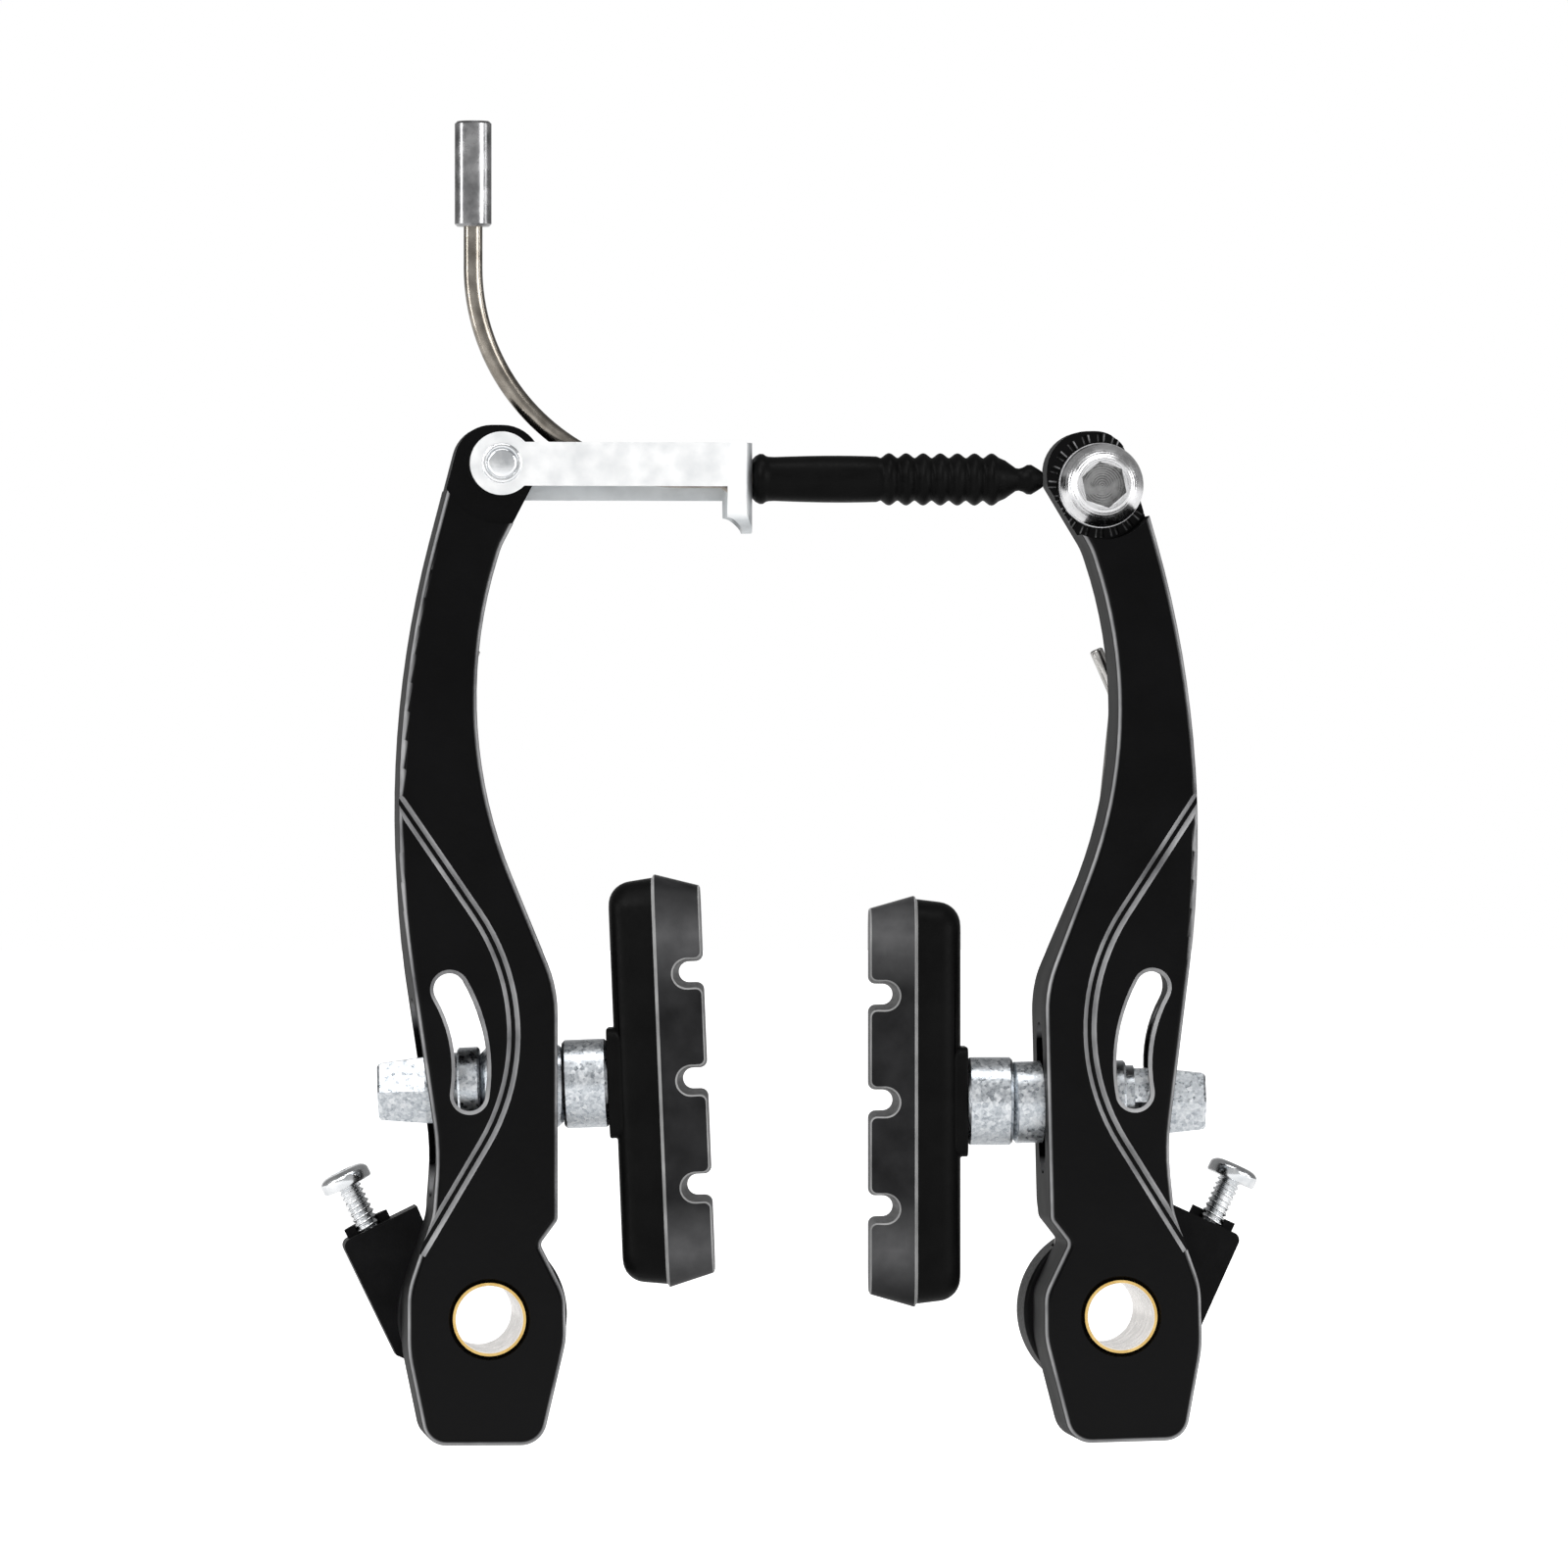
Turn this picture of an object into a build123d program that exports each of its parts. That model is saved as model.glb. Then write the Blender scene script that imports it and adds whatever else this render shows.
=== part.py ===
"""V brake, a linear-pull bicycle brake, built as separate pieces in one frame.

Millimetres, +Z up, front towards -Y. The origin is midway between the two pivots, on the plane where
the sleeves meet the frame bosses. Arm pieces are drawn for the left side, with the pivot at the origin
and the rim towards +X; the right side is the mirror image, leaned in by RIGHT_LEAN.
"""
import math
import os

from build123d import *

# Frame, shared fits and gaps
PIVOT_SPACING = 77.1
RIGHT_LEAN = 1.4
BOSS_D = 8.0
BOSS_FIT = 0.05
RUN_FIT = 0.05
LOOSE_FIT = 0.1
SLIP = 0.3
FACE_GAP = 0.04
REACH = 60.0

# Depth planes, y
FRONT_Y = -21.0
PIVOT_BACK_Y = -8.4
PAD_BACK_Y = -6.5
BEAM_BACK_Y = -11.0
POST_Y = (FRONT_Y + PAD_BACK_Y) / 2

# Arm outline corners as (x, z) with their corner radius, clockwise from the head
LEFT_HEAD = [((-3.05, 108.5), 4.5), ((6.55, 108.5), 4.8), ((6.55, 103.4), 1.0)]
RIGHT_HEAD = [((-3.2, 108.1), 4.2), ((6.0, 108.1), 5.0), ((6.0, 101.6), 1.0)]
WALL_X = 8.35
INNER_SIDE = [((1.5, 93.7), 8.0), ((-5.0, 72.7), 57.0), ((WALL_X, 40.2), 16.0), ((WALL_X, 12.0), 1.2)]
LOBE = [
    ((6.2, 9.1), 0.9),
    ((9.3, 3.0), 5.0),
    ((9.4, -2.5), 10.0),
    ((6.4, -15.3), 3.2),
    ((-7.6, -15.3), 3.0),
    ((-9.95, -4.0), 15.0),
    ((-9.95, 3.5), 10.0),
]
OUTER_SIDE = [((-6.9, 12.6), 8.0), ((-6.3, 20.5), 30.0), ((-13.46, 68.7), 130.0)]
EDGE_R = 0.8

# Arm side profile: where the back steps out for the pad post and in for the beam
PAD_STEP_Z = (11.8, 14.0)
BEAM_STEP_Z = (41.5, 53.0)
STEP_R = 3.0

# Arm groove, window and rims
GROOVE = [(-13.7, 66.8), (7.8, 35.5), (-8.5, 8.0)]
GROOVE_BEND_R = 26.0
GROOVE_W = 1.6
GROOVE_FLOOR_W = 0.5
GROOVE_DEPTH = 0.6
WINDOW = [(-4.8, 40.0), (-2.5, 33.8), (-2.4, 27.2)]
WINDOW_W = 3.9
WINDOW_BACK_W = 6.2
WINDOW_RIM_T = 2.0
RIM_BEVEL = 0.45

# Arm heads
PIN_X = 1.55
PIN_Z = 103.8
PIN_RECESS_R = 7.4
LEFT_HEAD_FRONT_Y = -18.8
LEFT_HEAD_BACK_Y = -12.8
ANCHOR_X = -0.5
ANCHOR_Z = 101.4
ANCHOR_RECESS_R = 6.7
RIGHT_HEAD_FRONT_Y = -16.0
SERRATIONS = 20
SERRATION_R = (4.3, 6.4)
SERRATION_W = 0.7
SERRATION_DEPTH = 0.5

# Pivot sleeve and spring holder
SLEEVE_R = 4.45
SLEEVE_PROUD = 0.1
HOLDER_R = 10.4
HOLDER_FRONT_Y = -8.0
HOLDER_FLOOR = 1.5
CAVITY_R = 8.0
BLOCK = [(-17.1, 8.7), (-7.9, 13.2), (-5.5, 7.5), (-6.0, -7.0), (-10.4, -5.1)]
BLOCK_FRONT_Y = -6.0
BLOCK_R = 1.0
HOLDER_EDGE_R = 0.5

# Tension screw, along the normal of the block's top face
SCREW_ALONG = 0.38
SCREW_Y = -3.0
SCREW_R = 1.5
SCREW_OUT = 5.8
SCREW_IN = 8.5
SCREW_HOLE = 12.5
SCREW_HEAD_R = 3.15
SCREW_HEAD_H = 2.0
SCREW_DOME_R = 0.9
CROSS_L = 3.6
CROSS_W = 0.75
CROSS_DEPTH = 1.1
COLLAR_R = 2.9
COLLAR_H = 1.1

# Return spring
WIRE_R = 0.85
COIL_R = 6.3
COIL_BACK_Y = -2.5
COIL_GAP = 0.1
COIL_TURNS = 1.5
LEG_KINK = (-3.3, 75.5)
LEG_TIP = (-0.9, 81.3)
LEG_BEND_R = 4.0
BOSS_ROOT_R = 0.8
BOSS_PIN_R = 0.6
BOSS_PIN_OUT = 5.0
LEG_SWING = 3.0
PEG_R = 1.5
PEG_Z = 68.0
PEG_SUNK = 4.0
PEG_END_Y = -3.6

# Pad post, washers and nut; values in pairs are (left, right)
POST_R = 2.5
SLOT_Z = 26.7
PAD_TRAVEL = 6.0
SLOT_W = 6.6
POCKET_R = 6.2
SEAT_X = 1.0
BALL_X = (SEAT_X + WALL_X) / 2
BALL_R = 6.56
INNER_BALL_R = (BALL_R, 8.5)
DOME_R = 5.0
DOME_BORE_R = 3.45
DOME_SHOW = 1.55
INNER_SHOW = (1.15, 3.5)
CUP_R = 5.4
CUP_T = 5.5
CUP_BEVEL = 0.35
OUTER_CUP_R = 5.0
OUTER_CUP_T = (2.7, 1.4)
OUTER_CUP_BEVEL = 0.25
FLAT_R = 4.4
FLAT_T = 1.0
NUT_AF = 8.0
NUT_L = 8.8
NUT_FLAT_L = 3.0
NUT_TAPER = 6.0
NUT_BEVEL = 0.3
POST_SHORT = 1.0

# Pad block; values in pairs are (left, right)
PAD_HEIGHT = (1.4, -0.5)
PAD_TOE = (6.0, -4.0)
PAD_TILT = (2.3, 1.4)
PAD_L = 50.3
PAD_W = 13.0
PAD_CORNER_R = 4.6
PAD_BACK_T = 5.5
PAD_FRONT_T = 5.6
PAD_BACK_TAPER = 7.0
PAD_FRONT_TAPER = 16.0
PAD_EDGE_R = 2.8
RIDGE_STEP = 0.4
PAD_BOSS_L = 13.4
PAD_BOSS_W = 9.6
PAD_BOSS_T = 0.9
PAD_BOSS_CORNER_R = 1.6
NOTCH_PITCH = 13.0
NOTCH_DEPTH = 3.0
NOTCH_W = 2.4
NOTCH_DRAFT = 2.6
NOTCH_MOUTH_R = 0.9
INSERT_L = 15.0
INSERT_W = 7.0
INSERT_T = 1.5
INSERT_CORNER_R = 1.0
INSERT_SUNK = 1.6

# Noodle link, drawn in the brake frame
LINK_T = 1.2
LINK_GAP = SLIP
EAR_R = 3.85
LINK_TOP_Z = 106.4
LINK_FRONT_LOW_Z = 101.1
LINK_BACK_LOW_Z = 99.5
LINK_END_X = -6.25
LINK_BEND_R = 3.2
TONGUE_TIP_Z = 95.4
TONGUE_TIP_R = 3.8
KEY_SLOT_W = 2.0
RIVET_R = 2.0
RIVET_HEAD_R = 2.45
RIVET_HEAD_H = 0.7
RIVET_TIP_R = 1.4
RIVET_TIP_H = 0.3

# Noodle tube, ferrule, nose and boot
NOODLE_X = -40.2
NOODLE_Z = 102.1
NOODLE_BEND_R = 25.6
TUBE_R = 1.15
TUBE_BORE_R = 0.8
FERRULE_R = 2.25
FERRULE_Z = (132.7, 145.5)
FERRULE_FLOOR = 2.5
SOCKET_R = 1.9
FERRULE_BEVEL = 0.3
NOSE_R = 1.5
NOSE_COLLAR_R = 2.0
NOSE_COLLAR_L = 2.6
NOSE_COLLAR_BEVEL = 0.6
NOSE_END_X = 2.0
BOOT_START_X = LINK_END_X + FACE_GAP
BOOT_TIP_X = 29.5
BOOT_COLLAR = [(0.0, 2.2), (1.3, 3.1), (2.0, 2.7)]
BOOT_SLEEVE_END = (15.2, 2.85)
RIBS = 7
RIB_START = 15.8
RIB_PITCH = 2.1
RIB_R = 3.2
RIB_VALLEY_R = 2.6
RIB_LAND = 0.5
BOOT_NECK = (3.5, 1.4)
BOOT_TIP_BULGE = (1.7, 1.85)
BOOT_TIP_R = 0.95
BOOT_WALL = 0.75
CABLE_R = 0.8

# Cable anchor
ANCHOR_R = 2.5
ANCHOR_WASHER_R = 5.2
ANCHOR_WASHER_T = 1.2
ANCHOR_HEAD_R = 5.1
ANCHOR_RIM_H = 0.9
ANCHOR_HEAD_H = 3.5
ANCHOR_TOP_R = 3.3
HEX_AF = 5.0
HEX_DEPTH = 2.4
HEX_TURN = 20.0
HEX_LEAD_R = 3.0
HEX_LEAD_DEPTH = 0.35

COIL_PITCH = 2 * WIRE_R + COIL_GAP
LEG_Y = COIL_BACK_Y - COIL_TURNS * COIL_PITCH
LINK_FRONT_Y = LEFT_HEAD_FRONT_Y - LINK_GAP - LINK_T
LINK_BACK_Y = LEFT_HEAD_BACK_Y + LINK_GAP + LINK_T
NOODLE_Y = (LINK_FRONT_Y + LINK_BACK_Y) / 2
LINK_PIN_X = PIN_X - PIVOT_SPACING / 2


def slab(face, back, front):
    """Extrudes an (x, z) face from the back plane to the front plane."""
    return extrude(Plane.XZ.offset(-back) * face, back - front)


def bar(face, start, end):
    """Extrudes a (y, z) face along x."""
    return extrude(Plane.YZ.offset(start) * face, end - start)


def disc(radius, x, z):
    """A circle in the (x, z) plane."""
    return Pos(x, z) * Circle(radius)


def post_disc(radius):
    """A circle on the post's axis in the (y, z) plane."""
    return Pos(POST_Y, SLOT_Z) * Circle(radius)


def outline(corners):
    """A closed face from corner points with their radii."""
    points = [point for point, radius in corners]
    radii = [radius for point, radius in corners]
    return make_face(FilletPolyline(*points, radius=radii, close=True))


def arm_blank(head):
    """The forged arm: front outline crossed with the side profile, front edge rounded."""
    high = PIN_Z + REACH
    side = [
        ((FRONT_Y, -REACH), 0),
        ((PIVOT_BACK_Y, -REACH), 0),
        ((PIVOT_BACK_Y, PAD_STEP_Z[0]), STEP_R),
        ((PAD_BACK_Y, PAD_STEP_Z[1]), STEP_R / 2),
        ((PAD_BACK_Y, BEAM_STEP_Z[0]), STEP_R),
        ((BEAM_BACK_Y, BEAM_STEP_Z[1]), STEP_R),
        ((BEAM_BACK_Y, high), 0),
        ((FRONT_Y, high), 0),
    ]
    blank = slab(outline(head + INNER_SIDE + LOBE + OUTER_SIDE), 0, FRONT_Y)
    blank &= bar(outline(side), -REACH, REACH)
    front = blank.faces().sort_by(Axis.Y)[0]
    return fillet(front.outer_wire().edges(), EDGE_R)


def pad_openings():
    """The slot for the pad post and the deeper pocket behind it."""
    slot = SlotCenterToCenter(2 * PAD_TRAVEL, SLOT_W, rotation=90)
    pocket = SlotCenterToCenter(2 * PAD_TRAVEL, 2 * POCKET_R, rotation=90)
    place = Pos(POST_Y, SLOT_Z)
    return bar(place * slot, SEAT_X - SLIP, REACH) + bar(place * pocket, -REACH, SEAT_X)


def groove():
    """The curved groove across the front face."""
    path = Plane.XZ.offset(-FRONT_Y) * FilletPolyline(*GROOVE, radius=GROOVE_BEND_R)
    half = GROOVE_W / 2
    floor = GROOVE_FLOOR_W / 2
    lower = [(floor, GROOVE_DEPTH), (-floor, GROOVE_DEPTH)]
    section = Polyline((-half, -half), (half, -half), (half, 0), *lower, (-half, 0), close=True)
    start = Plane(origin=path @ 0, x_dir=(path % 0).cross(Vector(0, -1, 0)), z_dir=path % 0)
    return sweep(start * make_face(section), path=path)


def arm(head):
    """The arm with its window, pivot bore, groove and pad openings, before the head is cut."""
    body = arm_blank(head)
    curve = ThreePointArc(*WINDOW)
    body -= slab(SlotArc(curve, WINDOW_W), 0, FRONT_Y - SLIP)
    body -= slab(SlotArc(curve, WINDOW_BACK_W), 0, FRONT_Y + WINDOW_RIM_T)
    body -= slab(Circle(SLEEVE_R + RUN_FIT), 0, FRONT_Y - SLIP)
    front = body.faces().sort_by(Axis.Y)[0]
    rims = [edge for wire in front.inner_wires() for edge in wire.edges()]
    body = chamfer(rims, RIM_BEVEL)
    body -= groove()
    body -= pad_openings()
    leg = peg_place()
    return body - slab(disc(PEG_R, *leg), BEAM_BACK_Y + REACH, BEAM_BACK_Y - PEG_SUNK)


def head_recess(radius, x, z):
    """The part of the front or back that is cut away round a head's axis and above it."""
    return disc(radius, x, z) + Pos(x, z + REACH / 2) * Rectangle(2 * radius, REACH)


def left_arm():
    """The left arm, its head thinned on both sides for the link."""
    body = arm(LEFT_HEAD)
    recess = head_recess(PIN_RECESS_R, PIN_X, PIN_Z)
    body -= slab(recess, LEFT_HEAD_FRONT_Y, FRONT_Y - REACH)
    body -= slab(recess, 0, LEFT_HEAD_BACK_Y)
    return body - slab(disc(RIVET_R, PIN_X, PIN_Z), 0, FRONT_Y)


def right_arm():
    """The right arm, its head set back and serrated for the cable anchor."""
    body = arm(RIGHT_HEAD)
    body -= slab(head_recess(ANCHOR_RECESS_R, ANCHOR_X, ANCHOR_Z), RIGHT_HEAD_FRONT_Y, FRONT_Y - REACH)
    body -= slab(disc(ANCHOR_R, ANCHOR_X, ANCHOR_Z), 0, FRONT_Y)
    inner, outer = SERRATION_R
    tooth = Pos((inner + outer) / 2, 0) * Rectangle(outer - inner, SERRATION_W)
    for index in range(SERRATIONS):
        turned = Pos(ANCHOR_X, ANCHOR_Z) * Rot(0, 0, index * 360 / SERRATIONS) * tooth
        body -= slab(turned, RIGHT_HEAD_FRONT_Y + SERRATION_DEPTH, RIGHT_HEAD_FRONT_Y - SERRATION_DEPTH)
    return body


def pivot_sleeve():
    """The bush that turns on the frame boss."""
    return slab(Circle(SLEEVE_R) - Circle(BOSS_D / 2 + BOSS_FIT), 0, FRONT_Y - SLEEVE_PROUD)


def leg_start():
    """Where the spring's leg leaves the coil: the leg is tangent to the coil there."""
    reach = math.hypot(*LEG_KINK)
    turn = math.atan2(LEG_KINK[1], LEG_KINK[0]) - math.acos(COIL_R / reach)
    return COIL_R * math.cos(turn), COIL_R * math.sin(turn)


def peg_place():
    """The peg's (x, z) on the arm's back, touching the outer side of the spring's leg."""
    x0, z0 = leg_start()
    x1, z1 = LEG_KINK
    length = math.hypot(x1 - x0, z1 - z0)
    along = (PEG_Z - z0) / (z1 - z0)
    away = WIRE_R + PEG_R + FACE_GAP
    return x0 + along * (x1 - x0) - away * (z1 - z0) / length, PEG_Z + away * (x1 - x0) / length


def spring_peg():
    """The peg that the spring's leg presses on."""
    return slab(disc(PEG_R, *peg_place()), PEG_END_Y, BEAM_BACK_Y - PEG_SUNK)


def coil_path():
    """The coil's centre line, turned so that it ends where the leg starts."""
    helix = Helix(COIL_PITCH, COIL_BACK_Y - LEG_Y, COIL_R, center=(0, COIL_BACK_Y, 0), direction=(0, -1, 0))
    end = helix @ 1
    x0, z0 = leg_start()
    turn = math.degrees(math.atan2(end.Z, end.X) - math.atan2(z0, x0))
    return Rot(0, turn, 0) * helix


def return_spring():
    """The wire spring: coil, leg up behind the arm and the straight end for the boss hole."""
    wire = Circle(WIRE_R)
    coil = coil_path()
    leg = Plane.XZ.offset(-LEG_Y) * FilletPolyline(leg_start(), LEG_KINK, LEG_TIP, radius=LEG_BEND_R)
    first = coil @ 0
    spring = sweep(Plane(origin=first, z_dir=coil % 0) * wire, path=coil, is_frenet=True)
    spring += slab(disc(BOSS_ROOT_R, first.X, first.Z), SLIP, COIL_BACK_Y)
    spring += slab(disc(BOSS_PIN_R, first.X, first.Z), BOSS_PIN_OUT, SLIP)
    return spring + sweep(Plane(origin=leg @ 0, z_dir=leg % 0) * wire, path=leg)


def screw_plane():
    """The plane on the block's top face with z along the tension screw, out of the block."""
    (ax, az), (bx, bz) = BLOCK[0], BLOCK[1]
    length = math.hypot(bx - ax, bz - az)
    normal = Vector((az - bz) / length, 0, (bx - ax) / length)
    origin = Vector(ax + SCREW_ALONG * (bx - ax), SCREW_Y, az + SCREW_ALONG * (bz - az))
    return Plane(origin=origin, x_dir=(0, 1, 0), z_dir=normal)


def pin_up(radius, low, high):
    """A cylinder along the tension screw."""
    return screw_plane() * Pos(0, 0, low) * extrude(Circle(radius), high - low)


def leg_slot():
    """The opening through which the leg leaves the cup, as an (x, z) face wide enough for its swing."""
    x0, z0 = leg_start()
    x1, z1 = LEG_KINK
    turn = math.degrees(math.atan2(z1 - z0, x1 - x0))
    face = Pos(HOLDER_R, LEG_SWING / 2) * Rectangle(2 * HOLDER_R, LEG_SWING + 2 * (WIRE_R + SLIP))
    return Pos(x0, z0) * Rot(0, 0, turn) * face


def spring_holder():
    """The moulded cup for the coil with the block for the tension screw."""
    block = make_face(Polyline(*BLOCK, close=True))
    block = fillet(block.vertices().sort_by(Axis.X)[0], BLOCK_R) + Circle(HOLDER_R)
    body = slab(Circle(HOLDER_R), 0, HOLDER_FRONT_Y)
    front = body.faces().sort_by(Axis.Y)[0]
    body = fillet(front.edges(), HOLDER_EDGE_R)
    body += slab(block, 0, BLOCK_FRONT_Y)
    half_ring = Pos(-COLLAR_R / 2, 0) * Rectangle(COLLAR_R, 2 * COLLAR_R)
    collar = Circle(COLLAR_R) - half_ring
    body += screw_plane() * Pos(0, 0, -COLLAR_H) * extrude(collar, 2 * COLLAR_H)
    body -= slab(Circle(CAVITY_R), -HOLDER_FLOOR, HOLDER_FRONT_Y - SLIP)
    body -= slab(Circle(SLEEVE_R + RUN_FIT), SLIP, HOLDER_FRONT_Y)
    body -= pin_up(SCREW_R + RUN_FIT, -SCREW_HOLE, SCREW_OUT)
    first = coil_path() @ 0
    body -= slab(disc(BOSS_ROOT_R + LOOSE_FIT, first.X, first.Z), SLIP, HOLDER_FRONT_Y)
    return body - slab(leg_slot(), LEG_Y + WIRE_R + SLIP, HOLDER_FRONT_Y - SLIP)


def tension_screw():
    """The screw that pushes on the coil, with a domed head and a cross recess."""
    top = SCREW_OUT + SCREW_HEAD_H
    head = fillet(extrude(Circle(SCREW_HEAD_R), SCREW_HEAD_H).edges().sort_by(Axis.Z)[-1], SCREW_DOME_R)
    cross = Rectangle(CROSS_L, CROSS_W) + Rectangle(CROSS_W, CROSS_L)
    head -= Pos(0, 0, SCREW_HEAD_H - CROSS_DEPTH) * extrude(cross, SCREW_HEAD_H)
    return screw_plane() * Pos(0, 0, SCREW_OUT) * head + pin_up(SCREW_R, -SCREW_IN, top - CROSS_DEPTH)


def turned_post(profile, side):
    """A turned piece on the post's axis from edges in (distance from the ball centre, radius).

    Side 1 faces the rim and -1 faces away from it.
    """
    body = revolve(make_face(profile), Axis.X)
    if side < 0:
        body = mirror(body, Plane.YZ)
    return Pos(BALL_X, POST_Y, SLOT_Z) * body


def on_ball(sphere_r, radius):
    """The distance from the ball centre at which a sphere has a given radius, and the reverse."""
    return math.sqrt(sphere_r**2 - radius**2)


def dome(side, ball_r):
    """A dome washer, flat on the arm's inner wall or on the pocket's seat."""
    flat = WALL_X - BALL_X + FACE_GAP
    mid = (DOME_R + DOME_BORE_R) / 2
    rim = on_ball(ball_r, DOME_R)
    crown = on_ball(ball_r, DOME_BORE_R)
    profile = [
        Polyline((crown, DOME_BORE_R), (flat, DOME_BORE_R), (flat, DOME_R), (rim, DOME_R)),
        ThreePointArc((rim, DOME_R), (on_ball(ball_r, mid), mid), (crown, DOME_BORE_R)),
    ]
    return turned_post(profile, side)


def cup(side, ball_r, show, radius, thick, bevel):
    """A cup washer, hollow towards its dome."""
    sphere_r = ball_r + RUN_FIT
    bore = POST_R + LOOSE_FIT
    start = WALL_X - BALL_X + show
    end = start + thick
    mouth = on_ball(sphere_r, start)
    mid = (mouth + bore) / 2
    deep = on_ball(sphere_r, bore)
    profile = [
        Polyline((start, mouth), (start, radius - bevel), (start + bevel, radius), (end - bevel, radius),
                 (end, radius - bevel), (end, bore), (deep, bore)),
        ThreePointArc((deep, bore), (on_ball(sphere_r, mid), mid), (start, mouth)),
    ]
    return turned_post(profile, side)


def outer_cup_end(side):
    """The outer face of the outer cup washer, x."""
    return SEAT_X - DOME_SHOW - OUTER_CUP_T[side]


def flat_washer(side):
    """The plain washer under the nut."""
    start = outer_cup_end(side)
    return bar(post_disc(FLAT_R) - post_disc(POST_R + LOOSE_FIT), start - FLAT_T, start)


def nut_start(side):
    """The nut's inner face, x."""
    return outer_cup_end(side) - FLAT_T


def pad_nut(side):
    """The long hexagon nut, tapered towards its outer end."""
    start = nut_start(side)
    flat = start - NUT_FLAT_L
    hexagon = Pos(POST_Y, SLOT_Z) * RegularPolygon(NUT_AF / math.sqrt(3), 6)
    cone = extrude(Plane.YZ.offset(flat) * hexagon, NUT_FLAT_L - NUT_L, taper=NUT_TAPER)
    cone = chamfer(cone.faces().sort_by(Axis.X)[0].edges(), NUT_BEVEL)
    body = bar(hexagon, flat, start) + cone
    return body - bar(post_disc(POST_R + RUN_FIT), start - NUT_L, start)


def pad_start(side):
    """The pad's back face on the post's axis, x."""
    return WALL_X + INNER_SHOW[side] + CUP_T + FACE_GAP + PAD_BOSS_T


def insert_plate(side):
    """The plate of the post that is moulded into the pad."""
    start = pad_start(side) + INSERT_SUNK
    plate = RectangleRounded(INSERT_W, INSERT_L, INSERT_CORNER_R)
    return bar(Pos(POST_Y, SLOT_Z) * plate, start, start + INSERT_T)


def pad_post(side):
    """The threaded post with its plate."""
    start = nut_start(side) - NUT_L + POST_SHORT
    return bar(post_disc(POST_R), start, pad_start(side) + INSERT_SUNK) + insert_plate(side)


def notch(face_x, mid):
    """One notch across the friction face, wider towards the front."""
    centre = face_x - NOTCH_DEPTH + NOTCH_W / 2
    face = Pos(centre + PAD_FRONT_T, mid) * SlotCenterToCenter(2 * PAD_FRONT_T, NOTCH_W)
    back = POST_Y + PAD_W / 2
    return extrude(Plane.XZ.offset(-back) * face, PAD_W, taper=-NOTCH_DRAFT)


def pad_block(side):
    """The moulded pad: rounded back, a step, tapered friction part with three notches."""
    place = Pos(POST_Y, SLOT_Z)
    start = pad_start(side)
    ridge = start + PAD_BACK_T
    face = RectangleRounded(PAD_W, PAD_L, PAD_CORNER_R)
    front = extrude(Plane.YZ.offset(ridge) * place * face, PAD_FRONT_T, taper=PAD_FRONT_TAPER)
    for index in (-1, 0, 1):
        front -= notch(ridge + PAD_FRONT_T, SLOT_Z + index * NOTCH_PITCH)
    mouth = front.faces().sort_by(Axis.X)[-4:].edges()
    inner = [edge for edge in mouth if abs(edge.center().Z - SLOT_Z) < NOTCH_PITCH + NOTCH_W
             and abs((edge % 0.5).Y) > abs((edge % 0.5).Z)]
    front = fillet(inner, NOTCH_MOUTH_R)
    face = RectangleRounded(PAD_W - 2 * RIDGE_STEP, PAD_L - 2 * RIDGE_STEP, PAD_CORNER_R - RIDGE_STEP)
    back = extrude(Plane.YZ.offset(ridge) * place * face, -PAD_BACK_T, taper=PAD_BACK_TAPER)
    back = fillet(back.faces().sort_by(Axis.X)[0].edges(), PAD_EDGE_R)
    boss = place * RectangleRounded(PAD_BOSS_W, PAD_BOSS_L, PAD_BOSS_CORNER_R)
    body = front + back + bar(boss, start - PAD_BOSS_T, start + PAD_EDGE_R)
    return body - insert_plate(side) - bar(post_disc(POST_R), 0, start + INSERT_SUNK)


def pad_turn(side):
    """Moves a washer or pad piece to its place: raised in the slot and turned on the domes."""
    centre = Vector(BALL_X, POST_Y, SLOT_Z)
    lift = Pos(0, 0, PAD_HEIGHT[side])
    return lift * Pos(centre) * Rot(0, -PAD_TILT[side], -PAD_TOE[side]) * Pos(-centre)


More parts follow.
